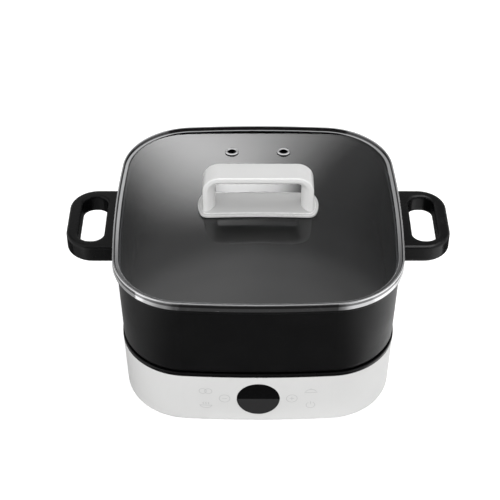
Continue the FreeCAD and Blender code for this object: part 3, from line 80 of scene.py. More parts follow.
def emptied(owner):
    """The node tree of a new material or world, without its first nodes."""
    owner.use_nodes = True
    owner.node_tree.nodes.clear()
    return owner.node_tree


def feed(tree, socket, value):
    """Links a socket to another node's output, or sets it to a plain value."""
    if isinstance(value, bpy.types.NodeSocket):
        tree.links.new(value, socket)
    else:
        socket.default_value = value


def add_node(tree, kind, inputs=None, **settings):
    """One shader node with its settings and its inputs, keyed by socket name or number."""
    node = tree.nodes.new(kind)
    for name, value in settings.items():
        setattr(node, name, value)
    for key, value in (inputs or {}).items():
        feed(tree, node.inputs[key], value)
    return node


def calculate(tree, operation, first, second=0.0):
    """The output of a Math node."""
    return add_node(tree, "ShaderNodeMath", {0: first, 1: second}, operation=operation).outputs[0]


def remap(tree, value, low, high, start=0.0, end=1.0, shape="LINEAR"):
    """A value mapped from low..high to start..end, and held at the ends."""
    inputs = {"Value": value, "From Min": low, "From Max": high, "To Min": start, "To Max": end}
    return add_node(tree, "ShaderNodeMapRange", inputs, interpolation_type=shape).outputs["Result"]


def calculate_vectors(tree, operation, first, second=(0.0, 0.0, 0.0), result="Vector"):
    """An output of a Vector Math node, which is a number where the result asked for is "Value"."""
    node = add_node(tree, "ShaderNodeVectorMath", {0: first, 1: second}, operation=operation)
    return node.outputs[result]


def blend_numbers(tree, share, first, second):
    """A number between two others."""
    inputs = {MIX_SHARE: share, MIX_NUMBERS[0]: first, MIX_NUMBERS[1]: second}
    return add_node(tree, "ShaderNodeMix", inputs).outputs[MIXED_NUMBER]


def blend_colours(tree, share, first, second):
    """A colour between two others."""
    inputs = {MIX_SHARE: share, MIX_COLOURS[0]: opaque(first), MIX_COLOURS[1]: opaque(second)}
    return add_node(tree, "ShaderNodeMix", inputs, data_type="RGBA").outputs[MIXED_COLOUR]


def opaque(colour):
    """Three colour values with a fourth of 1, and a socket as it is."""
    if isinstance(colour, bpy.types.NodeSocket):
        return colour
    return (*list(colour)[:3], 1.0)


def place_of(tree):
    """The surface point in the frame of the part."""
    return add_node(tree, "ShaderNodeTexCoord").outputs["Object"]


def coordinates(tree):
    """The X, Y and Z of the surface point."""
    return add_node(tree, "ShaderNodeSeparateXYZ", {0: place_of(tree)}).outputs


def inset_of(tree):
    """How far the surface point lies inside the shared outline, on a level cut."""
    beyond = SIDE_RADIUS - HALF_WIDTH
    reach = math.sqrt(2 * (SIDE_RADIUS - CORNER_RADIUS) ** 2 - beyond ** 2)
    corner_centre = (reach - beyond) / 2
    one_quarter = calculate_vectors(tree, "ABSOLUTE", place_of(tree))
    point = calculate_vectors(tree, "MULTIPLY", one_quarter, LEVEL_PLANE)
    arcs = (((-beyond, 0.0, 0.0), SIDE_RADIUS), ((0.0, -beyond, 0.0), SIDE_RADIUS),
            ((corner_centre, corner_centre, 0.0), CORNER_RADIUS))
    insets = []
    for centre, radius in arcs:
        away = calculate_vectors(tree, "DISTANCE", point, centre, result="Value")
        insets.append(calculate(tree, "SUBTRACT", radius, away))
    parts = add_node(tree, "ShaderNodeSeparateXYZ", {0: point}).outputs
    nearer_side = calculate(tree, "MINIMUM", parts["X"], parts["Y"])
    in_corner = calculate(tree, "GREATER_THAN", nearer_side, corner_centre)
    at_side = calculate(tree, "MINIMUM", insets[0], insets[1])
    return blend_numbers(tree, in_corner, at_side, insets[2])


def band(tree, value, low, high, soft):
    """1 between two values and 0 beyond them, with soft ends."""
    return calculate(tree, "MULTIPLY", remap(tree, value, low - soft, low + soft),
                     remap(tree, value, high + soft, high - soft))


def noise(tree, vector, scale, detail=2.0, roughness=0.5, distortion=0.0):
    """The value of a noise texture."""
    inputs = {"Vector": vector, "Scale": scale, "Detail": detail, "Roughness": roughness,
              "Distortion": distortion}
    return add_node(tree, "ShaderNodeTexNoise", inputs).outputs[0]


def new_group(name, inputs, outputs):
    """An empty shader group with number inputs and outputs, and its two end nodes."""
    group = bpy.data.node_groups.new(name, "ShaderNodeTree")
    for label, default in inputs.items():
        socket = group.interface.new_socket(label, in_out="INPUT", socket_type="NodeSocketFloat")
        socket.default_value = default
    for label, kind in outputs.items():
        group.interface.new_socket(label, in_out="OUTPUT", socket_type=kind)
    return group, group.nodes.new("NodeGroupInput"), group.nodes.new("NodeGroupOutput")


def moulded_grain():
    """Fine grain that a mould leaves, and wide clouds of uneven tone."""
    group, given, result = new_group(
        "Moulded grain", {"Grain scale": 1200.0, "Cloud scale": 22.0},
        {"Height": "NodeSocketFloat", "Clouds": "NodeSocketFloat"})
    grain_share, pit_share, pit_spread = 0.6, 0.4, 0.6
    place = place_of(group)
    fine = noise(group, place, given.outputs["Grain scale"], detail=3.0, roughness=0.6)
    pit_scale = calculate(group, "MULTIPLY", given.outputs["Grain scale"], pit_spread)
    pits = add_node(group, "ShaderNodeTexVoronoi", {"Vector": place, "Scale": pit_scale})
    height = calculate(group, "ADD", calculate(group, "MULTIPLY", fine, grain_share),
                       calculate(group, "MULTIPLY", pits.outputs["Distance"], pit_share))
    feed(group, result.inputs["Height"], height)
    clouds = noise(group, place, given.outputs["Cloud scale"], detail=3.0, roughness=0.55)
    feed(group, result.inputs["Clouds"], remap(group, clouds, 0.3, 0.7))
    return group


def handling_marks():
    """Faint smudges of use, and hairline scratches that run in two directions."""
    group, given, result = new_group(
        "Handling marks", {"Smudge scale": 30.0, "Scratch scale": 60.0},
        {"Smudges": "NodeSocketFloat", "Scratches": "NodeSocketFloat"})
    place = place_of(group)
    smudge = noise(group, place, given.outputs["Smudge scale"], detail=4.0, roughness=0.6,
                   distortion=0.8)
    feed(group, result.inputs["Smudges"], remap(group, smudge, 0.48, 0.7, shape="SMOOTHSTEP"))
    stretch = (1.0, 40.0, 1.0)
    directions = ((0.2, 0.3, 0.5), (0.2, 0.3, 2.2))
    lines = []
    for direction in directions:
        stretched = add_node(group, "ShaderNodeMapping", {
            "Vector": place, "Rotation": direction, "Scale": stretch})
        line = noise(group, stretched.outputs["Vector"], given.outputs["Scratch scale"], detail=1.0)
        lines.append(remap(group, line, 0.68, 0.72))
    feed(group, result.inputs["Scratches"], calculate(group, "MAXIMUM", *lines))
    return group


def turned_lines():
    """Fine rings about the vertical axis, as a lathe or a press tool leaves."""
    group, given, result = new_group(
        "Turned lines", {"Spacing": 0.0008},
        {"Height": "NodeSocketFloat", "Tone": "NodeSocketFloat"})
    bands_in_a_turn = 0.35
    level = calculate_vectors(group, "MULTIPLY", place_of(group), LEVEL_PLANE)
    radius = calculate_vectors(group, "LENGTH", level, result="Value")
    turns = calculate(group, "DIVIDE", radius, given.outputs["Spacing"])
    wave = calculate(group, "SINE", calculate(group, "MULTIPLY", turns, 2 * math.pi))
    feed(group, result.inputs["Height"], remap(group, wave, -1.0, 1.0))
    along = calculate(group, "MULTIPLY", turns, bands_in_a_turn)
    bands = add_node(group, "ShaderNodeTexNoise", {"W": along, "Scale": 1.0, "Detail": 3.0},
                     noise_dimensions="1D")
    feed(group, result.inputs["Tone"], remap(group, bands.outputs[0], 0.3, 0.7))
    return group


def edge_wear_and_painted_highlights():
    """Marks the edges of a form, where handling polishes or pales it and where a painted highlight
    pales it, and rounds the normal there.
    """
    group, given, result = new_group(
        "Worn edges", {"Width": 0.0005},
        {"Edge": "NodeSocketFloat", "Normal": "NodeSocketVector"})
    rounded = add_node(group, "ShaderNodeBevel", {"Radius": given.outputs["Width"]}, samples=4)
    true_normal = add_node(group, "ShaderNodeNewGeometry").outputs["Normal"]
    flat, sharp = 0.995, 0.9
    agree = calculate_vectors(group, "DOT_PRODUCT", rounded.outputs[0], true_normal, result="Value")
    uneven = noise(group, place_of(group), scale=260.0, detail=3.0)
    edge = calculate(group, "MULTIPLY", remap(group, agree, flat, sharp),
                     remap(group, uneven, 0.3, 0.6, start=0.4, end=1.0))
    feed(group, result.inputs["Edge"], edge)
    feed(group, result.inputs["Normal"], rounded.outputs[0])
    return group


def flecks():
    """Small pale flecks scattered through a coating."""
    group, given, result = new_group(
        "Flecks", {"Fleck scale": 700.0, "Share": 0.12}, {"Flecks": "NodeSocketFloat"})
    fleck_radius = 0.28
    cells = add_node(group, "ShaderNodeTexVoronoi", {
        "Vector": place_of(group), "Scale": given.outputs["Fleck scale"]})
    lot = add_node(group, "ShaderNodeSeparateColor", {0: cells.outputs["Color"]}).outputs["Red"]
    chosen = calculate(group, "LESS_THAN", lot, given.outputs["Share"])
    near = calculate(group, "LESS_THAN", cells.outputs["Distance"], fleck_radius)
    feed(group, result.inputs["Flecks"], calculate(group, "MULTIPLY", chosen, near))
    return group


GROUPS = {"Moulded grain": moulded_grain, "Handling marks": handling_marks,
          "Turned lines": turned_lines, "Worn edges": edge_wear_and_painted_highlights, "Flecks": flecks}


def shared_effect(tree, name, **values):
    """Places a shared effect in a material, with its own values, and returns its outputs."""
    group = bpy.data.node_groups.get(name) or GROUPS[name]()
    inputs = {label.replace("_", " ").capitalize(): value for label, value in values.items()}
    return add_node(tree, "ShaderNodeGroup", inputs, node_tree=group).outputs


# ---- materials ------------------------------------------------------------------------------

class Finish:
    """One material: a Principled BSDF with grain, clouded tone, smudges, scratches, and edges paled by
    wear or by a painted highlight.

    Grain and cloud_scale count the features in a metre, depth and edge_width are lengths, and the
    others are shares."""

    def __init__(self, name, colour, roughness, metallic=0.0, grain=1200.0, depth=12e-6,
                 clouds=0.05, cloud_scale=22.0, smudges=0.06, scratches=0.12,
                 edge=0.0, edge_width=0.0005, specular=0.5, coat=0.0):
        self.material = bpy.data.materials.new(name)
        self.tree = emptied(self.material)
        self.shader = add_node(self.tree, "ShaderNodeBsdfPrincipled", {
            "Metallic": metallic, "Specular IOR Level": specular, "Coat Weight": coat})
        add_node(self.tree, "ShaderNodeOutputMaterial", {"Surface": self.shader.outputs["BSDF"]})
        grains = shared_effect(self.tree, "Moulded grain", grain_scale=grain,
                               cloud_scale=cloud_scale)
        marks = shared_effect(self.tree, "Handling marks")
        darker = [c * (1 - clouds) for c in colour]
        paler = [min(1.0, c * (1 + clouds)) for c in colour]
        self.colour = blend_colours(self.tree, grains["Clouds"], darker, paler)
        smudged = remap(self.tree, marks["Smudges"], 0.0, 1.0, roughness, roughness + smudges)
        scratched = calculate(self.tree, "MULTIPLY", marks["Scratches"], scratches)
        self.roughness = calculate(self.tree, "ADD", smudged, scratched)
        self.height = grains["Height"]
        self.depth = depth
        self.normal = None
        if edge:
            worn_or_highlit = shared_effect(self.tree, "Worn edges", width=edge_width)
            # Paler edges: wear, and on some finishes a painted highlight.
            self.tint(worn_or_highlit["Edge"], [min(1.0, c + edge) for c in colour])
            self.normal = worn_or_highlit["Normal"]

    def tint(self, share, colour, strength=1.0):
        """Paints a colour over the base where the share says."""
        covered = calculate(self.tree, "MULTIPLY", share, strength)
        self.colour = blend_colours(self.tree, covered, self.colour, colour)

    def emboss(self, height):
        """Adds a height to the relief."""
        self.height = calculate(self.tree, "ADD", self.height, height)

    def finished(self):
        """Joins the colour, roughness and relief to the shader and returns the material."""
        feed(self.tree, self.shader.inputs["Base Color"], self.colour)
        feed(self.tree, self.shader.inputs["Roughness"], self.roughness)
        relief = add_node(self.tree, "ShaderNodeBump", {
            "Strength": 1.0, "Distance": self.depth, "Height": self.height})
        if self.normal is not None:
            feed(self.tree, relief.inputs["Normal"], self.normal)
        feed(self.tree, self.shader.inputs["Normal"], relief.outputs["Normal"])
        return self.material


def dress(material, *names):
    """Gives the nodes of these names the material in each of their slots."""
    for name in names:
        for slot in NODES[name].material_slots:
            slot.material = material


# ---- meshes ---------------------------------------------------------------------------------

def new_piece(name, mesh, material, body, replaced=()):
    """Puts a mesh in the scene as a piece that rides on a body, and may replace nodes."""
    mesh.materials.append(material)
    piece = bpy.data.objects.new(name, mesh)
    bpy.context.scene.collection.objects.link(piece)
    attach(piece, body)
    if replaced:
        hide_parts(*replaced)


def mesh_of(name, shape, smooth=True):
    """A mesh from a bmesh, which is freed."""
    bmesh.ops.recalc_face_normals(shape, faces=shape.faces)
    mesh = bpy.data.meshes.new(name)
    shape.to_mesh(mesh)
    shape.free()
    for face in mesh.polygons:
        face.use_smooth = smooth
    return mesh


def surface_of(name):
    """The surface of a node, to lay a print on."""
    mesh = NODES[name].data
    points = [vert.co.copy() for vert in mesh.vertices]
    return BVHTree.FromPolygons(points, [tuple(face.vertices) for face in mesh.polygons])


# ---- settings -------------------------------------------------------------------------------

def colour_setting(name, description, default):
    """A colour that the user can change."""
    return FloatVectorProperty(name=name, description=description, default=default, size=3,
                               min=0.0, max=1.0, subtype="COLOR")


def share_setting(name, description, default):
    """A number from 0 to 1 that the user can change."""
    return FloatProperty(name=name, description=description, default=default, min=0.0, max=1.0,
                         subtype="FACTOR")


def length_setting(name, description, default):
    """A length in metres that the user can change."""
    return FloatProperty(name=name, description=description, default=default, min=0.0,
                         precision=5, subtype="DISTANCE", unit="LENGTH")


def power_setting(name, description, default):
    """The power of a lamp that the user can change."""
    return FloatProperty(name=name, description=description, default=default, min=0.0,
                         unit="POWER")


class HotPotColours(bpy.types.PropertyGroup):
    """Colours of the visible parts and marks."""

    housing: colour_setting("Housing", "White plastic of the base", (0.545, 0.545, 0.541))
    handle: colour_setting("Lid handle", "White plastic of the lid handle", (0.65, 0.65, 0.646))
    black_plastic: colour_setting("Black plastic", "Deck and side handles", (0.0022, 0.0022, 0.0024))
    coating: colour_setting("Pot coating", "Black coating of the pot", (0.0045, 0.0045, 0.0047))
    steel: colour_setting("Polished steel", "Lid rim and steam vents", (0.7, 0.7, 0.71))
    glass: colour_setting("Lid glass", "Smoke tint of the lid", (0.2, 0.205, 0.21))
    print: colour_setting("Printed marks", "Ink of the touch symbols", (0.37, 0.373, 0.376))


class HotPotSurface(bpy.types.PropertyGroup):
    """How rough the visible surfaces are."""

    housing: share_setting("Housing", "Roughness of the white plastic", 0.38)
    handle: share_setting("Lid handle", "Roughness of the lid handle", 0.28)
    black_plastic: share_setting("Black plastic", "Roughness of the deck and handles", 0.22)
    coating: share_setting("Pot coating", "Roughness of the coating", 0.34)
    steel: share_setting("Polished steel", "Roughness of the lid rim", 0.09)
    glass: share_setting("Lid glass", "Roughness of the lid glass", 0.03)


class HotPotMarks(bpy.types.PropertyGroup):
    """Places and sizes of the printed touch symbols."""

    near: length_setting("Near symbols", "Distance of the inner symbols from the middle", 0.0336)
    far: length_setting("Far symbols", "Distance of the outer symbols from the middle", 0.0525)
    level: length_setting("Level", "Height of the middle of the symbols", 0.0363)
    spread: length_setting("Spread", "Half the height between the outer symbols", 0.0102)
    radius: length_setting("Radius", "Outer radius of the rings round the inner symbols", 0.0056)
    size: length_setting("Size", "Half the width of the outer symbols", 0.0066)
    line: length_setting("Line", "Width of the printed lines", 0.0005)
    thickness: length_setting("Thickness", "How far the ink stands off the wall", 0.00006)


class HotPotStudio(bpy.types.PropertyGroup):
    """The camera and the lights of the studio."""

    world: FloatProperty(name="World", description="Brightness of the even light",
                         default=0.52, min=0.0, max=2.0)
    key: power_setting("Key light", "Power of the large lamp in front", 29.0)
    top: power_setting("Top light", "Power of the small lamp above the right", 7.0)
    left: power_setting("Left light", "Power of the lamp at the front left", 5.8)
    right: power_setting("Right light", "Power of the lamp at the front right", 3.4)
    focal_length: FloatProperty(name="Focal length", description="Lens of the camera in mm",
                                default=98.02, min=10.0, subtype="DISTANCE_CAMERA", unit="CAMERA")


SETTINGS = {"hot_pot_colours": HotPotColours, "hot_pot_surface": HotPotSurface,
            "hot_pot_marks": HotPotMarks, "hot_pot_studio": HotPotStudio}


# ---- the base -------------------------------------------------------------------------------

class HOTPOT_OT_housing(bpy.types.Operator):
    """White moulded shell of the base"""

    bl_idname = "hotpot.housing"
    bl_label = "Finish the housing"

    def execute(self, context):
        """Gives the shell its satin white plastic."""
        colours, surface = context.scene.hot_pot_colours, context.scene.hot_pot_surface
        white = Finish("White housing plastic", colours.housing, surface.housing, grain=900.0,
                       depth=6e-6, clouds=0.02, cloud_scale=9.0, smudges=0.05, scratches=0.05)
        dress(white.finished(), "base_housing")
        return {"FINISHED"}


class HOTPOT_OT_underside(bpy.types.Operator):
    """Bottom cover and the four rubber feet"""

    bl_idname = "hotpot.underside"
    bl_label = "Finish the underside"

    def execute(self, context):
        """Gives the cover matt plastic and the feet rubber."""
        cover = Finish("Pale grey plastic", (0.52, 0.52, 0.52), 0.55, grain=700.0, depth=20e-6,
                       clouds=0.04, scratches=0.1)
        dress(cover.finished(), "bottom_cover")
        rubber = Finish("Foot rubber", (0.028, 0.028, 0.028), 0.78, grain=1500.0, depth=30e-6,
                        clouds=0.25, cloud_scale=90.0, smudges=0.1, scratches=0.0, specular=0.3)
        dress(rubber.finished(), "foot_front_left", "foot_front_right", "foot_rear_left",
              "foot_rear_right")
        return {"FINISHED"}


class HOTPOT_OT_black_plastic(bpy.types.Operator):
    """Black heat-resistant plastic of the deck, the side handles, the inlet and the sensor sleeve"""

    bl_idname = "hotpot.black_plastic"
    bl_label = "Finish the black mouldings"

    def execute(self, context):
        """Gives the black mouldings a fine matt grain with paler edges."""
        colours, surface = context.scene.hot_pot_colours, context.scene.hot_pot_surface
        moulded = {"grain": 1100.0, "depth": 14e-6, "clouds": 0.12, "cloud_scale": 30.0,
                   "smudges": 0.1}
        black = Finish("Black moulded plastic", colours.black_plastic, surface.black_plastic,
                       scratches=0.1, edge=0.006, edge_width=0.0012, specular=0.24, **moulded)
        dress(black.finished(), "top_deck", "power_inlet", "sensor_sleeve")
        rolled = Finish("Black handle plastic", colours.black_plastic, surface.black_plastic,
                        scratches=0.06, edge=0.002, edge_width=0.003, specular=0.2, **moulded)
        dress(rolled.finished(), "handle_left", "handle_right")
        return {"FINISHED"}


class HOTPOT_OT_display_window(bpy.types.Operator):
    """Round tinted window of the display"""

    bl_idname = "hotpot.display_window"
    bl_label = "Finish the display window"

    def execute(self, context):
        """Gives the window gloss black, a little paler below the middle as a painted reflection of the
        floor.
        """
        low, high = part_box("display_lens")
        middle = (low.z + high.z) / 2
        softness = 0.0002
        window = Finish("Tinted display window", (0.003, 0.003, 0.0032), 0.07, grain=600.0,
                        depth=1e-6, clouds=0.1, smudges=0.05, scratches=0.04, specular=0.14)
        level = coordinates(window.tree)["Z"]
        # Painted reflection: the lower half of the window is made paler, as if it mirrored the floor.
        lower = remap(window.tree, level, middle + softness, middle - softness)
        window.tint(lower, (0.0225, 0.0225, 0.023))
        dress(window.finished(), "display_lens")
        return {"FINISHED"}


# How far the bars of the plus and minus signs reach, as a share of their rings' radius.
SIGN_ARM = 0.42

# Where the rays that find the front wall start: any place before it.
BEFORE_THE_WALL = -0.4


def ring(shape, centre, outer, inner, parts=40):
    """A flat ring in the XZ plane."""
    angles = [2 * math.pi * i / parts for i in range(parts)]
    edge, hole = [[shape.verts.new((centre[0] + radius * math.cos(a), 0.0,
                                    centre[1] + radius * math.sin(a))) for a in angles]
                  for radius in (outer, inner)]
    for i in range(parts):
        j = (i + 1) % parts
        shape.faces.new((edge[i], edge[j], hole[j], hole[i]))


def stroke(shape, start, end, width, parts=6):
    """A flat bar in the XZ plane between two points."""
    start, end = Vector(start), Vector(end)
    along = (end - start).normalized()
    across = Vector((-along.y, along.x)) * width / 2
    rows = []
    for i in range(parts + 1):
        point = start.lerp(end, i / parts)
        rows.append([shape.verts.new((p.x, 0.0, p.y)) for p in (point + across, point - across)])
    for i in range(parts):
        shape.faces.new((rows[i][0], rows[i][1], rows[i + 1][1], rows[i + 1][0]))


def curve(shape, points, width):
    """A flat line through a row of points in the XZ plane."""
    for first, second in zip(points, points[1:]):
        stroke(shape, first, second, width, 1)


def arc_points(x, z, wide, high, start, end, parts=18):
    """Points along an arc of an ellipse, between two angles in degrees."""
    angles = [math.radians(start + (end - start) * i / parts) for i in range(parts + 1)]
    return [(x + wide * math.cos(a), z + high * math.sin(a)) for a in angles]


def glyph_minus(shape, x, z, size, line):
    """A minus sign in a ring."""
    arm = size * SIGN_ARM
    ring(shape, (x, z), size, size - line)
    stroke(shape, (x - arm, z), (x + arm, z), line)


def glyph_plus(shape, x, z, size, line):
    """A plus sign in a ring."""
    arm = size * SIGN_ARM
    glyph_minus(shape, x, z, size, line)
    stroke(shape, (x, z - arm), (x, z - line / 2), line)
    stroke(shape, (x, z + line / 2), (x, z + arm), line)


def glyph_power(shape, x, z, size, line):
    """An open circle with a bar at the top."""
    radius, foot, head = size * 0.66, size * 0.2, size * 0.8
    curve(shape, arc_points(x, z, radius, radius, 60, -240), line)
    stroke(shape, (x, z + foot), (x, z + head), line)


def glyph_dish(shape, x, z, size, line):
    """A covered dish: a low dome with a knob over a long line."""
    wide, high, foot = size * 0.8, size * 0.55, size * 0.2
    table, knob, knob_level = size * 0.32, size * 0.12, size * 0.48
    curve(shape, arc_points(x, z - foot, wide, high, 180, 0), line)
    stroke(shape, (x - size, z - table), (x + size, z - table), line)
    stroke(shape, (x - knob, z + knob_level), (x + knob, z + knob_level), line, 2)


def glyph_rings(shape, x, z, size, line):
    """Two linked rings."""
    apart, radius = size * 0.42, size * 0.58
    for side in (-1, 1):
        ring(shape, (x + side * apart, z), radius, radius - line)


def glyph_bowl(shape, x, z, size, line):
    """A bowl under three short lines of steam."""
    wide, deep, brim = size * 0.85, size * 0.6, size * 0.05
    gap, sway, bend, foot, rise = size * 0.4, size * 0.09, 2.1, size * 0.18, size * 0.12
    curve(shape, arc_points(x, z - brim, wide, deep, 180, 360), line)
    stroke(shape, (x - size, z - brim), (x + size, z - brim), line)
    for column in (-1, 0, 1):
        steam = [(x + column * gap + sway * math.sin(bend * i), z + foot + rise * i)
                 for i in range(5)]
        curve(shape, steam, line)


def lay_on_wall(shape, wall, thickness):
    """Moves a flat form back until it lies on the front wall, a thickness before it."""
    backwards = Vector((0.0, 1.0, 0.0))
    for vert in shape.verts:
        start = Vector((vert.co.x, BEFORE_THE_WALL, vert.co.z))
        hit = wall.ray_cast(start, backwards)[0]
        if hit is None:
            raise RuntimeError("A printed symbol doesn't meet the front wall")
        vert.co.y = hit.y - thickness


class HOTPOT_OT_touch_symbols(bpy.types.Operator):
    """Six faint printed symbols beside the display window"""

    bl_idname = "hotpot.touch_symbols"
    bl_label = "Print the touch symbols"

    def execute(self, context):
        """Draws each symbol and lays it on the leaning front wall as a thin film of ink."""
        marks = context.scene.hot_pot_marks
        ink = Finish("Grey printing ink", context.scene.hot_pot_colours.print, 0.45, grain=2500.0,
                     depth=3e-6, clouds=0.04, cloud_scale=300.0, scratches=0.05)
        material = ink.finished()
        wall = surface_of("base_housing")
        weld = 1e-6
        low, high = marks.level - marks.spread, marks.level + marks.spread
        symbols = {
            "touch_symbol_minus": (-marks.near, marks.level, marks.radius, glyph_minus),
            "touch_symbol_plus": (marks.near, marks.level, marks.radius, glyph_plus),
            "touch_symbol_dish": (marks.far, high, marks.size, glyph_dish),
            "touch_symbol_power": (marks.far, low, marks.size, glyph_power),
            "touch_symbol_rings": (-marks.far, high, marks.size, glyph_rings),
            "touch_symbol_bowl": (-marks.far, low, marks.size, glyph_bowl),
        }
        for name, (x, z, size, glyph) in symbols.items():
            shape = bmesh.new()
            glyph(shape, x, z, size, marks.line)
            bmesh.ops.remove_doubles(shape, verts=shape.verts, dist=weld)
            lay_on_wall(shape, wall, marks.thickness)
            new_piece(name, mesh_of(name, shape), material, "base")
        return {"FINISHED"}


class HOTPOT_OT_heating_parts(bpy.types.Operator):
    """Heating plate, tube, pan, thermal fuse and temperature sensor"""

    bl_idname = "hotpot.heating_parts"
    bl_label = "Finish the heating parts"

    def execute(self, context):
        """Gives the plate and the cap turned rings, and the other parts their metals."""
        plate = Finish("Heating plate coating", (0.075, 0.075, 0.078), 0.48, metallic=0.35,
                       grain=900.0, depth=25e-6, clouds=0.12, cloud_scale=45.0, scratches=0.2)
        rings = shared_effect(plate.tree, "Turned lines", spacing=0.0012)
        plate.tint(rings["Tone"], (0.13, 0.13, 0.135), strength=0.35)
        plate.emboss(rings["Height"])
        dress(plate.finished(), "heating_plate")
        tube = Finish("Heat-tinted tube steel", (0.2, 0.175, 0.15), 0.36, metallic=1.0,
                      grain=1500.0, depth=8e-6, clouds=0.35, cloud_scale=55.0)
        dress(tube.finished(), "heating_tube")
        pan = Finish("Galvanised sheet steel", (0.44, 0.445, 0.46), 0.42, metallic=1.0,
                     grain=260.0, depth=6e-6, clouds=0.16, cloud_scale=120.0, scratches=0.2)
        dress(pan.finished(), "heat_pan")
        cap = Finish("Drawn aluminium", (0.62, 0.62, 0.63), 0.3, metallic=1.0, grain=1500.0,
                     depth=6e-6, clouds=0.06, scratches=0.25)
        cap.emboss(shared_effect(cap.tree, "Turned lines", spacing=0.0005)["Height"])
        dress(cap.finished(), "sensor_cap", "thermal_fuse")
        spring = Finish("Spring wire", (0.4, 0.4, 0.41), 0.28, metallic=1.0, grain=2000.0,
                        depth=5e-6, clouds=0.1, cloud_scale=150.0)
        dress(spring.finished(), "sensor_spring")
        return {"FINISHED"}


class HOTPOT_OT_electrical_parts(bpy.types.Operator):
    """Boards, components, leads and inlet pins inside the base"""

    bl_idname = "hotpot.electrical_parts"
    bl_label = "Finish the electrical parts"

    def execute(self, context):
        """Gives the boards a printed pattern and each component its own plastic or metal."""
        board = Finish("Circuit board", (0.03, 0.14, 0.065), 0.32, grain=900.0, depth=10e-6,
                       clouds=0.1, coat=0.3)
        tracks = add_node(board.tree, "ShaderNodeTexBrick", {
            "Vector": place_of(board.tree), "Scale": 90.0, "Mortar Size": 0.035,
            "Color1": BLACK, "Color2": BLACK, "Mortar": WHITE})
        share = add_node(board.tree, "ShaderNodeSeparateColor", {0: tracks.outputs["Color"]})
        board.tint(share.outputs["Red"], (0.1, 0.3, 0.14), strength=0.6)
        dress(board.finished(), "power_board", "display_board")
        black = Finish("Component body", (0.02, 0.02, 0.021), 0.5, grain=1400.0, depth=15e-6,
                       clouds=0.1, edge=0.03, edge_width=0.0004)
        dress(black.finished(), "display_module", "touch_pads", "limit_thermostat", "thermistor",
              "power_transformer")
        blue = Finish("Blue component body", (0.03, 0.07, 0.24), 0.4, grain=1400.0, depth=10e-6,
                      clouds=0.06, edge=0.05, edge_width=0.0004)
        dress(blue.finished(), "power_relay", "mains_capacitor")
        lead = Finish("White lead sleeve", (0.62, 0.62, 0.6), 0.5, grain=800.0, depth=12e-6,
                      clouds=0.06, cloud_scale=60.0)
        dress(lead.finished(), "heater_leads", "mains_leads")
        ribbon = Finish("Grey ribbon lead", (0.3, 0.3, 0.31), 0.5, grain=900.0, depth=60e-6)
        cores = add_node(ribbon.tree, "ShaderNodeTexWave", {
            "Vector": place_of(ribbon.tree), "Scale": 120.0}, bands_direction="X")
        ribbon.emboss(cores.outputs["Fac"])
        dress(ribbon.finished(), "ribbon_cable")
        pins = Finish("Plated pins", (0.62, 0.56, 0.42), 0.22, metallic=1.0, grain=1500.0,
                      depth=4e-6, clouds=0.06, scratches=0.2)
        dress(pins.finished(), "inlet_pins")
        return {"FINISHED"}


# ---- the pot --------------------------------------------------------------------------------

class HOTPOT_OT_pot(bpy.types.Operator):
    """Black coated pot with its turned contact face"""

    bl_idname = "hotpot.pot"
    bl_label = "Finish the pot"

    def execute(self, context):
        """Gives the pot a fine flecked coating, and turned rings under its floor."""
        colours, surface = context.scene.hot_pot_colours, context.scene.hot_pot_surface
        tolerance = 0.0004
        contact_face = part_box("pot_body")[0].z + tolerance
        coating = Finish("Black pot coating", colours.coating, surface.coating, grain=1000.0,
                         depth=10e-6, clouds=0.1, cloud_scale=35.0, smudges=0.06,
                         scratches=0.06, edge=0.01, edge_width=0.0008, specular=0.14)
        tree = coating.tree
        speckled = shared_effect(tree, "Flecks", fleck_scale=800.0, share=0.1)["Flecks"]
        coating.tint(speckled, (0.02, 0.02, 0.021), strength=0.5)
        under = calculate(tree, "LESS_THAN", coordinates(tree)["Z"], contact_face)
        coating.tint(under, (0.16, 0.16, 0.163), strength=0.9)
        rings = shared_effect(tree, "Turned lines", spacing=0.0009)
        coating.emboss(calculate(tree, "MULTIPLY", rings["Height"], under))
        dress(coating.finished(), "pot_body")
        return {"FINISHED"}


# ---- the lid --------------------------------------------------------------------------------

# Two dark lines painted on the rim, one as shade and one as a reflection, measured inwards from
# the outline and down from the rim's top. The painted shade lies beside the glass, between two
# insets, and fades out between two depths. The painted dark reflection lies under the outer edge,
# between two depths, and fades out between two insets.
SHADED_FOLD_INSETS = (0.0015, 0.0026)
SHADED_FOLD_FADE = (0.0035, 0.003)
SEAM_REFLECTION_DEPTHS = (0.0042, 0.0014)
SEAM_REFLECTION_FADE = (0.0009, 0.0006)

# The refractive index of soda-lime glass.
GLASS_INDEX = 1.52

# How much of the lid handle's colour its plate has: the plate is the same plastic, darkened as painted
# shade under the grip.
PLATE_PAINTED_SHADE = 0.82


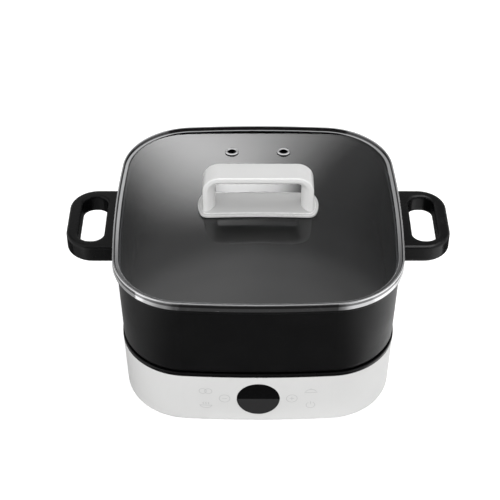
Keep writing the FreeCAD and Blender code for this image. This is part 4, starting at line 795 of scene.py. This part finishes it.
class HOTPOT_OT_lid_rim(bpy.types.Operator):
    """Polished steel rim of the lid and the two steam vents"""

    bl_idname = "hotpot.lid_rim"
    bl_label = "Finish the steel of the lid"

    def execute(self, context):
        """Gives the rim and the vents polished steel with drawing lines, and paints shade beside the
        glass and a dark reflection under the outer edge.
        """
        colours, surface = context.scene.hot_pot_colours, context.scene.hot_pot_surface
        steel = Finish("Polished steel", colours.steel, surface.steel, metallic=1.0, grain=1600.0,
                       depth=1.5e-6, clouds=0.03, cloud_scale=40.0, smudges=0.06, scratches=0.12)
        tree = steel.tree
        drawn = add_node(tree, "ShaderNodeMapping", {"Vector": place_of(tree),
                                                     "Scale": (12.0, 12.0, 1800.0)})
        steel.emboss(noise(tree, drawn.outputs["Vector"], scale=1.0, detail=2.0))
        inset = inset_of(tree)
        level = coordinates(tree)["Z"]
        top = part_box("lid_rim")[1].z
        # Painted shade: the colour is darkened where the rim's top meets the glass.
        fold_shade = calculate(tree, "MULTIPLY", band(tree, inset, *SHADED_FOLD_INSETS, soft=0.0002),
                         remap(tree, level, top - SHADED_FOLD_FADE[0], top - SHADED_FOLD_FADE[1]))
        # Painted dark reflection: the colour of the upper outer wall is darkened.
        seam_reflection = calculate(tree, "MULTIPLY",
                         band(tree, level, top - SEAM_REFLECTION_DEPTHS[0], top - SEAM_REFLECTION_DEPTHS[1], soft=0.0003),
                         remap(tree, inset, *SEAM_REFLECTION_FADE))
        steel.tint(fold_shade, (0.03, 0.03, 0.03), strength=0.95)
        steel.tint(seam_reflection, (0.06, 0.06, 0.06), strength=0.75)
        dress(steel.finished(), "lid_rim", "steam_vent_left", "steam_vent_right")
        return {"FINISHED"}


class HOTPOT_OT_seals(bpy.types.Operator):
    """Silicone seals of the lid"""

    bl_idname = "hotpot.seals"
    bl_label = "Finish the seals"

    def execute(self, context):
        """Gives the seals black silicone."""
        silicone = Finish("Black silicone", (0.03, 0.03, 0.03), 0.5, grain=1400.0, depth=12e-6,
                          clouds=0.15, cloud_scale=80.0, smudges=0.1, scratches=0.0)
        dress(silicone.finished(), "rim_seal", "lid_handle_gasket", "vent_rings")
        return {"FINISHED"}


class HOTPOT_OT_lid_glass(bpy.types.Operator):
    """Smoked glass of the lid"""

    bl_idname = "hotpot.lid_glass"
    bl_label = "Finish the lid glass"

    def execute(self, context):
        """Gives the lid clear polished glass with a smoke tint and faint smudges."""
        colours, surface = context.scene.hot_pot_colours, context.scene.hot_pot_surface
        glass = Finish("Smoked glass", colours.glass, surface.glass, grain=9.0, depth=1e-7,
                       clouds=0.04, cloud_scale=18.0, smudges=0.03, scratches=0.0)
        glass.shader.inputs["Transmission Weight"].default_value = 1.0
        glass.shader.inputs["IOR"].default_value = GLASS_INDEX
        dress(glass.finished(), "lid_glass")
        return {"FINISHED"}


class HOTPOT_OT_lid_handle(bpy.types.Operator):
    """White strap handle of the lid and its plate"""

    bl_idname = "hotpot.lid_handle"
    bl_label = "Finish the lid handle"

    def execute(self, context):
        """Gives the handle and its plate satin white plastic, the plate darker as painted shade and
        both paler at their edges as a painted highlight.
        """
        colours, surface = context.scene.hot_pot_colours, context.scene.hot_pot_surface
        satin = {"grain": 1100.0, "depth": 5e-6, "clouds": 0.02, "cloud_scale": 20.0,
                 "smudges": 0.06, "scratches": 0.06}
        # Painted highlight: the grip's edges are made paler, like the light catching its rims.
        white = Finish("White handle plastic", colours.handle, surface.handle, edge=0.04,
                       edge_width=0.0006, **satin)
        dress(white.finished(), "lid_handle_grip")
        # Painted shade: the plate is the handle's plastic made darker, as if shaded by the grip.
        shaded_handle_colour = [PLATE_PAINTED_SHADE * c for c in colours.handle]
        # Painted highlight: the plate's edges are made much paler, like the light on its front rim.
        plate = Finish("White plate plastic", shaded_handle_colour, surface.handle, edge=0.34,
                       edge_width=0.0012, **satin)
        dress(plate.finished(), "lid_handle_base")
        return {"FINISHED"}


# ---- screws ---------------------------------------------------------------------------------

# The screws that show: the axis they lie along, the body they ride on, and the radius and height
# of the head.
SHOWN_SCREWS = {
    "cover_screws": (2, "base", 0.0035, 0.0012),
    "inlet_screws": (1, "base", 0.003, 0.0016),
    "handle_screws": (0, "pot", 0.0039, 0.0022),
    "lid_handle_screws": (2, "lid", 0.0044, 0.0024),
}

# Shape of the head, as shares of its radius or height: reach and depth of the cross recess, size
# of its floor, fall of the crown towards the edge, rings on the crown, and height of the edge.
RECESS_REACH = 0.55
RECESS_DEPTH = 0.55
RECESS_FLOOR = 0.72
CROWN_FALL = 0.4
CROWN_RADII = (0.7, 0.85, 0.95)
EDGE_HEIGHT = 0.5

# Half the angle that an arm of the cross takes, in degrees, the sides of an arm and the points
# on each. The head and the thread have as many points around as the cross has.
ARM_ANGLE = 15
ARM_SIDES = 3
SIDE_POINTS = 3
AROUND = 4 * ARM_SIDES * SIDE_POINTS

# The thread: its pitch, the fewest ridges that it has, its root and its tip as shares of the
# shank's radius, and its end as a share of the shank's length.
PITCH = 0.0011
FEWEST_RIDGES = 4
THREAD_ROOT = 0.76
TIP_RADIUS = 0.4
THREAD_END = 0.97


def clusters(node, reach=0.025):
    """The points of each fastener in a group of them."""
    groups = []
    for vert in NODES[node].data.vertices:
        for group in groups:
            if (vert.co - group[0]).length < reach:
                group.append(vert.co.copy())
                break
        else:
            groups.append([vert.co.copy()])
    return groups


def measure_screw(points, axis, head, height):
    """The underside of a plain screw's head, the way it faces, its shank's radius and length."""
    at_edge = 0.97 * head
    below_head = -0.002
    low, high = [Vector([pick(p[i] for p in points) for i in range(3)]) for pick in (min, max)]
    middle = (low + high) / 2

    def radius(point):
        """How far a point lies from the screw's own axis."""
        return Vector([point[i] - middle[i] for i in range(3) if i != axis]).length

    edge_levels = [p[axis] for p in points if radius(p) > at_edge]
    facing = Vector((0, 0, 0))
    facing[axis] = 1.0 if sum(edge_levels) / len(edge_levels) > middle[axis] else -1.0
    top = high[axis] if facing[axis] > 0 else low[axis]
    place = middle.copy()
    place[axis] = top - facing[axis] * height
    shank = max(radius(p) for p in points if (p - place).dot(facing) < below_head)
    return place, facing, shank, high[axis] - low[axis] - height


def cross_outline(reach):
    """Points round a cross recess, each arm as far out as the reach."""
    corner = reach * math.tan(math.radians(ARM_ANGLE))
    arm = [Vector((reach, -corner)), Vector((reach, corner)), Vector((corner, corner)),
           Vector((corner, reach))]
    cross = []
    for quarter in range(4):
        spin = Matrix.Rotation(math.radians(90 * quarter), 2)
        for first, second in zip(arm, arm[1:]):
            cross += [spin @ first.lerp(second, i / SIDE_POINTS) for i in range(SIDE_POINTS)]
    return cross


def add_screw(shape, place, facing, head, height, shank, length):
    """A pan-head screw with a cross recess, its head's underside at a place, its shank threaded."""

    def crown(radius):
        """Height of the head's top at a radius."""
        return height * (1 - CROWN_FALL * (radius / head) ** 2)

    cross = cross_outline(head * RECESS_REACH)
    floor = crown(0) - RECESS_DEPTH * height
    rows = [[(p.x * RECESS_FLOOR, p.y * RECESS_FLOOR, floor) for p in cross],
            [(p.x, p.y, crown(p.length)) for p in cross]]
    profile = [(share * head, crown(share * head)) for share in CROWN_RADII]
    profile += [(head, EDGE_HEIGHT * height), (head, 0.0), (shank, 0.0)]
    ridges = max(FEWEST_RIDGES, round(length / PITCH))
    for i in range(ridges):
        profile += [(shank * THREAD_ROOT, -length * (i + 0.5) / ridges),
                    (shank, -length * (i + 1) / ridges * THREAD_END)]
    profile.append((shank * TIP_RADIUS, -length))
    angles = [math.radians(360 / AROUND * i - ARM_ANGLE) for i in range(AROUND)]
    rows += [[(r * math.cos(a), r * math.sin(a), z) for a in angles] for r, z in profile]
    turn = Vector((0, 0, 1)).rotation_difference(facing).to_matrix()
    loops = [[shape.verts.new(place + turn @ Vector(point)) for point in row] for row in rows]
    for upper, lower in zip(loops, loops[1:]):
        for i in range(AROUND):
            j = (i + 1) % AROUND
            shape.faces.new((upper[i], lower[i], lower[j], upper[j]))
    shape.faces.new(loops[0])
    shape.faces.new(loops[-1])


class HOTPOT_OT_screws(bpy.types.Operator):
    """Zinc-plated screws of the base, the pot and the lid"""

    bl_idname = "hotpot.screws"
    bl_label = "Finish the screws"

    def execute(self, context):
        """Gives the screws zinc plating, and those that show a cross recess and a thread."""
        sharp_angle = math.radians(32)
        zinc = Finish("Zinc-plated steel", (0.5, 0.5, 0.51), 0.3, metallic=1.0, grain=1500.0,
                      depth=6e-6, clouds=0.12, cloud_scale=200.0, smudges=0.1, scratches=0.2)
        material = zinc.finished()
        dress(material, "pan_screws", "plate_screws", "board_screws", "lid_handle_washers",
              *SHOWN_SCREWS)
        for node, (axis, body, head, height) in SHOWN_SCREWS.items():
            shape = bmesh.new()
            for points in clusters(node):
                place, facing, shank, length = measure_screw(points, axis, head, height)
                add_screw(shape, place, facing, head, height, shank, length)
            mesh = mesh_of(f"{node}_formed", shape)
            mesh.set_sharp_from_angle(angle=sharp_angle)
            new_piece(f"{node}_formed", mesh, material, body, (node,))
        return {"FINISHED"}


# ---- the studio -----------------------------------------------------------------------------

CAMERA_PLACE = (-0.00821, -1.07733, 1.03142)
CAMERA_TILT = math.radians(49.562)
SENSOR_WIDTH = 36.0
NEAREST_SEEN = 0.01

# The floor: half its side, its colour, how much it glows where it is seen directly, and a gap
# that keeps it clear of the feet.
FLOOR_REACH = 4.0
FLOOR_COLOUR = (0.8, 0.8, 0.8, 1.0)
FLOOR_GLOW = 0.55
FLOOR_GAP = 0.0002

# The lamps: the setting that holds the power, the side of the square and the place. All of them
# face the middle of the pot.
LAMPS = {
    "key_lamp": ("key", 2.4, (-0.1, -1.6, 0.8)),
    "top_lamp": ("top", 0.9, (0.7, 0.15, 1.4)),
    "left_lamp": ("left", 1.0, (-1.3, -0.8, 0.5)),
    "right_lamp": ("right", 1.0, (1.3, -0.8, 0.5)),
}
LIT_POINT = Vector((0.0, 0.0, 0.1))


def seen_directly(tree):
    """1 for rays that reach the camera, a polished surface or glass, 0 for those that light things."""
    path = add_node(tree, "ShaderNodeLightPath").outputs
    mirrored = calculate(tree, "MAXIMUM", path["Is Glossy Ray"], path["Is Transmission Ray"])
    return calculate(tree, "MAXIMUM", path["Is Camera Ray"], mirrored)


def white_floor():
    """Pale floor that looks white where nothing shades it, and can be looked through from below."""
    material = bpy.data.materials.new("Studio floor")
    tree = emptied(material)
    strength = calculate(tree, "MULTIPLY", seen_directly(tree), FLOOR_GLOW)
    paper = add_node(tree, "ShaderNodeBsdfDiffuse", {"Color": FLOOR_COLOUR}).outputs[0]
    glow = add_node(tree, "ShaderNodeEmission", {"Color": WHITE, "Strength": strength}).outputs[0]
    above = add_node(tree, "ShaderNodeAddShader", {0: paper, 1: glow}).outputs[0]
    clear = add_node(tree, "ShaderNodeBsdfTransparent").outputs[0]
    from_below = add_node(tree, "ShaderNodeNewGeometry").outputs["Backfacing"]
    seen = add_node(tree, "ShaderNodeMixShader", {0: from_below, 1: above, 2: clear}).outputs[0]
    add_node(tree, "ShaderNodeOutputMaterial", {"Surface": seen})
    return material


def white_world(strength):
    """Even light, seen as plain white behind the part."""
    world = bpy.data.worlds.new("Studio world")
    tree = emptied(world)
    even, plain = [add_node(tree, "ShaderNodeBackground", {"Color": WHITE, "Strength": value})
                   for value in (strength, 1.0)]
    both = add_node(tree, "ShaderNodeMixShader", {0: seen_directly(tree), 1: even.outputs[0],
                                                  2: plain.outputs[0]})
    add_node(tree, "ShaderNodeOutputWorld", {"Surface": both.outputs[0]})
    return world


def add_lamp(name, power, size, place):
    """A square area lamp that faces the part and isn't mirrored."""
    lamp = bpy.data.lights.new(name, "AREA")
    lamp.energy = power
    lamp.size = size
    holder = bpy.data.objects.new(name, lamp)
    holder.location = place
    holder.rotation_euler = (LIT_POINT - Vector(place)).to_track_quat("-Z", "Y").to_euler()
    holder.visible_glossy = False
    holder.visible_transmission = False
    bpy.context.scene.collection.objects.link(holder)


def graded(tree, value, stops):
    """A number read between stops of a value, each stop a pair of value and result."""
    low, high = stops[0][0], stops[-1][0]
    largest = max(result for _, result in stops)
    node = add_node(tree, "ShaderNodeValToRGB", {0: remap(tree, value, low, high)})
    ramp = node.color_ramp
    ramp.interpolation = "EASE"
    while len(ramp.elements) < len(stops):
        ramp.elements.new(0.5)
    for element, (place, result) in zip(ramp.elements, stops):
        element.position = (place - low) / (high - low)
        element.color = (*[result / largest] * 3, 1.0)
    return calculate(tree, "MULTIPLY", node.outputs[0], largest)


def soft_patch(tree, place, centre, squash, stops):
    """A round patch of light on an upright card, graded outwards and squashed in its height."""
    across = calculate(tree, "SUBTRACT", place["X"], centre[0])
    up = calculate(tree, "MULTIPLY", calculate(tree, "SUBTRACT", place["Z"], centre[1]), squash)
    squares = [calculate(tree, "POWER", part, 2.0) for part in (across, up)]
    return graded(tree, calculate(tree, "SQRT", calculate(tree, "ADD", *squares)), stops)


def glass_card_light(tree, place):
    """A soft bright patch left of the middle, a small one behind the lid handle, and even light."""
    by_height = graded(tree, place["Z"], ((0.4, 0.6), (1.0, 0.55), (1.18, 0.7), (1.42, 1.4),
                                          (1.6, 1.6)))
    by_side = graded(tree, place["X"], ((-0.6, 0.3), (-0.45, 0.5), (-0.3, 0.95), (-0.1, 1.0),
                                        (0.1, 0.8), (0.27, 0.6), (0.42, 0.33), (0.6, 0.2)))
    large = soft_patch(tree, place, centre=(-0.13, 0.68), squash=0.75,
                       stops=((0.0, 5.2), (0.37, 0.0)))
    small = soft_patch(tree, place, centre=(-0.012, 0.85), squash=1.0,
                       stops=((0.0, 6.6), (0.06, 6.2), (0.16, 0.0)))
    even = calculate(tree, "MULTIPLY", by_height, by_side)
    return calculate(tree, "ADD", even, calculate(tree, "ADD", large, small))


def sky_card_light(tree, place):
    """Pale low down, dark in the middle heights and dim above."""
    by_height = graded(tree, place["Z"], ((0.25, 0.9), (0.7, 0.6), (0.98, 0.62), (1.2, 0.1),
                                          (1.45, 0.3), (1.8, 0.5)))
    by_side = graded(tree, place["X"], ((-0.8, 0.6), (-0.3, 1.0), (0.1, 0.8), (0.5, 0.5)))
    return calculate(tree, "MULTIPLY", by_height, by_side)


def floor_flag_light(tree, place):
    """Dark in the middle and about as bright as the floor at both sides."""
    return graded(tree, place["X"], ((-0.3, 0.8), (-0.22, 0.35), (-0.12, 0.06), (0.12, 0.06),
                                     (0.22, 0.9), (0.3, 1.0)))


def rear_floor_light(tree, place):
    """As bright as the floor, and dimmer at the left."""
    return graded(tree, place["X"], ((-0.5, 0.4), (-0.1, 0.4), (0.1, 1.0), (0.5, 1.0)))


def dark_flag_light(tree, place):
    """Nearly black all over."""
    return graded(tree, place["Z"], ((0.0, 0.05), (2.5, 0.03)))


def top_card_light(tree, place):
    """Bright all over, a little more so at the right."""
    return graded(tree, place["X"], ((-0.6, 4.5), (1.3, 7.0)))


def black_card_light(tree, place):
    """None at all."""
    return 0.0


# Cards that shape what polished surfaces show: two opposite corners, the light of each, and the
# nodes that alone see it (INCLUDE) or alone don't (EXCLUDE). A card with such nodes is
# see-through, so that the others show what lies behind it.
CARDS = {
    "glass_card": ((-1.6, 1.0, 0.1), (1.6, 1.0, 2.1), glass_card_light, ("INCLUDE", "lid_glass")),
    "sky_card": ((-1.6, 1.02, 0.1), (1.6, 1.02, 2.1), sky_card_light, ("EXCLUDE", "lid_glass")),
    "black_card": ((-1.6, 1.04, 0.1), (1.6, 1.04, 2.1), black_card_light, None),
    "top_card": ((-0.6, -0.9, 2.3), (1.3, 0.9, 2.3), top_card_light,
                 ("INCLUDE", "handle_right", "lid_handle_grip")),
    "front_flag": ((-1.3, -1.5, 0.25), (1.3, -1.5, 2.9), dark_flag_light, None),
    "floor_flag": ((-0.3, -1.45, 0.004), (0.3, -0.15, 0.004), floor_flag_light, None),
    "rear_floor_card": ((-0.5, -0.02, 0.0045), (0.5, 1.0, 0.0045), rear_floor_light,
                        ("EXCLUDE", "handle_left", "handle_right")),
    "rear_floor_flag": ((-0.5, -0.02, 0.004), (0.5, 1.0, 0.004), dark_flag_light, None),
    "left_floor_flag": ((-0.5, -0.15, 0.004), (-0.05, -0.02, 0.004), rear_floor_light, None),
}


def card_material(name, light_of, see_through):
    """The light of a card, with clear film under it where the card is see-through."""
    material = bpy.data.materials.new(f"Studio {name.replace('_', ' ')}")
    tree = emptied(material)
    strength = light_of(tree, coordinates(tree))
    surface = add_node(tree, "ShaderNodeEmission", {"Color": WHITE, "Strength": strength}).outputs[0]
    if see_through:
        clear = add_node(tree, "ShaderNodeBsdfTransparent").outputs[0]
        surface = add_node(tree, "ShaderNodeAddShader", {0: surface, 1: clear}).outputs[0]
    add_node(tree, "ShaderNodeOutputMaterial", {"Surface": surface})
    return material


def link_card(card, state, *nodes):
    """Shows a card to these nodes alone (INCLUDE) or to all others (EXCLUDE)."""
    receivers = bpy.data.collections.new(f"{card.name} receivers")
    for number, node in enumerate(nodes):
        receivers.objects.link(NODES[node])
        receivers.collection_objects[number].light_linking.link_state = state
    card.light_linking.receiver_collection = receivers


def add_card(name, corner, opposite, light_of, seen_by):
    """A flat card that only polished surfaces show, upright or level."""
    low, high = Vector(corner), Vector(opposite)
    corners = (low, (high.x, low.y, low.z), high, (low.x, high.y, high.z))
    shape = bmesh.new()
    shape.faces.new([shape.verts.new(place) for place in corners])
    card = bpy.data.objects.new(name, mesh_of(name, shape, smooth=False))
    card.data.materials.append(card_material(name, light_of, see_through=bool(seen_by)))
    for ray in ("camera", "diffuse", "transmission", "volume_scatter", "shadow"):
        setattr(card, f"visible_{ray}", False)
    bpy.context.scene.collection.objects.link(card)
    if seen_by:
        link_card(card, *seen_by)


def add_floor():
    """A wide level sheet just under the feet."""
    shape = bmesh.new()
    bmesh.ops.create_grid(shape, x_segments=1, y_segments=1, size=FLOOR_REACH)
    floor = bpy.data.objects.new("studio_floor", mesh_of("studio_floor", shape, smooth=False))
    floor.location.z = -FLOOR_GAP
    floor.data.materials.append(white_floor())
    bpy.context.scene.collection.objects.link(floor)


def add_camera(scene, focal_length):
    """The camera, in front of the part and above it."""
    camera = bpy.data.cameras.new("camera")
    camera.lens = focal_length
    camera.sensor_width = SENSOR_WIDTH
    camera.clip_start = NEAREST_SEEN
    holder = bpy.data.objects.new("camera", camera)
    holder.location = CAMERA_PLACE
    holder.rotation_euler = (CAMERA_TILT, 0.0, 0.0)
    scene.collection.objects.link(holder)
    scene.camera = holder


class HOTPOT_OT_studio(bpy.types.Operator):
    """White studio with soft lamps, cards for the reflections and the camera"""

    bl_idname = "hotpot.studio"
    bl_label = "Set up the studio"

    def execute(self, context):
        """Adds the floor, the world, the lamps, the cards and the camera."""
        studio = context.scene.hot_pot_studio
        add_floor()
        context.scene.world = white_world(studio.world)
        for name, (setting, size, place) in LAMPS.items():
            add_lamp(name, getattr(studio, setting), size, place)
        for name, card in CARDS.items():
            add_card(name, *card)
        add_camera(context.scene, studio.focal_length)
        context.scene.view_settings.view_transform = "Standard"
        return {"FINISHED"}


# ---- the add-on -----------------------------------------------------------------------------

OPERATORS = (HOTPOT_OT_housing, HOTPOT_OT_underside, HOTPOT_OT_black_plastic,
             HOTPOT_OT_display_window, HOTPOT_OT_touch_symbols, HOTPOT_OT_heating_parts,
             HOTPOT_OT_electrical_parts, HOTPOT_OT_pot, HOTPOT_OT_lid_rim, HOTPOT_OT_seals,
             HOTPOT_OT_lid_glass, HOTPOT_OT_lid_handle, HOTPOT_OT_screws, HOTPOT_OT_studio)


class HOTPOT_PT_pieces(bpy.types.Panel):
    """Lists the pieces of the hot pot and their settings"""

    bl_idname = "HOTPOT_PT_pieces"
    bl_label = "Electric hot pot"
    bl_space_type = "VIEW_3D"
    bl_region_type = "UI"
    bl_category = "Hot pot"

    def draw(self, context):
        """Draws a button for each piece and a box for each group of settings."""
        for operator in OPERATORS:
            self.layout.operator(operator.bl_idname)
        for name, group in SETTINGS.items():
            box = self.layout.box()
            box.label(text=group.__doc__)
            for setting in group.__annotations__:
                box.prop(getattr(context.scene, name), setting)


CLASSES = (*SETTINGS.values(), *OPERATORS, HOTPOT_PT_pieces)


def register():
    """Makes the settings, the operators and the panel known to Blender."""
    for kind in CLASSES:
        bpy.utils.register_class(kind)
    for name, group in SETTINGS.items():
        setattr(bpy.types.Scene, name, PointerProperty(type=group))


def unregister():
    """Takes them out again."""
    for name in SETTINGS:
        delattr(bpy.types.Scene, name)
    for kind in reversed(CLASSES):
        bpy.utils.unregister_class(kind)


def main():
    """Builds every piece and the studio."""
    register()
    for operator in OPERATORS:
        group, name = operator.bl_idname.split(".")
        getattr(getattr(bpy.ops, group), name)()


if __name__ == "__main__":
    main()
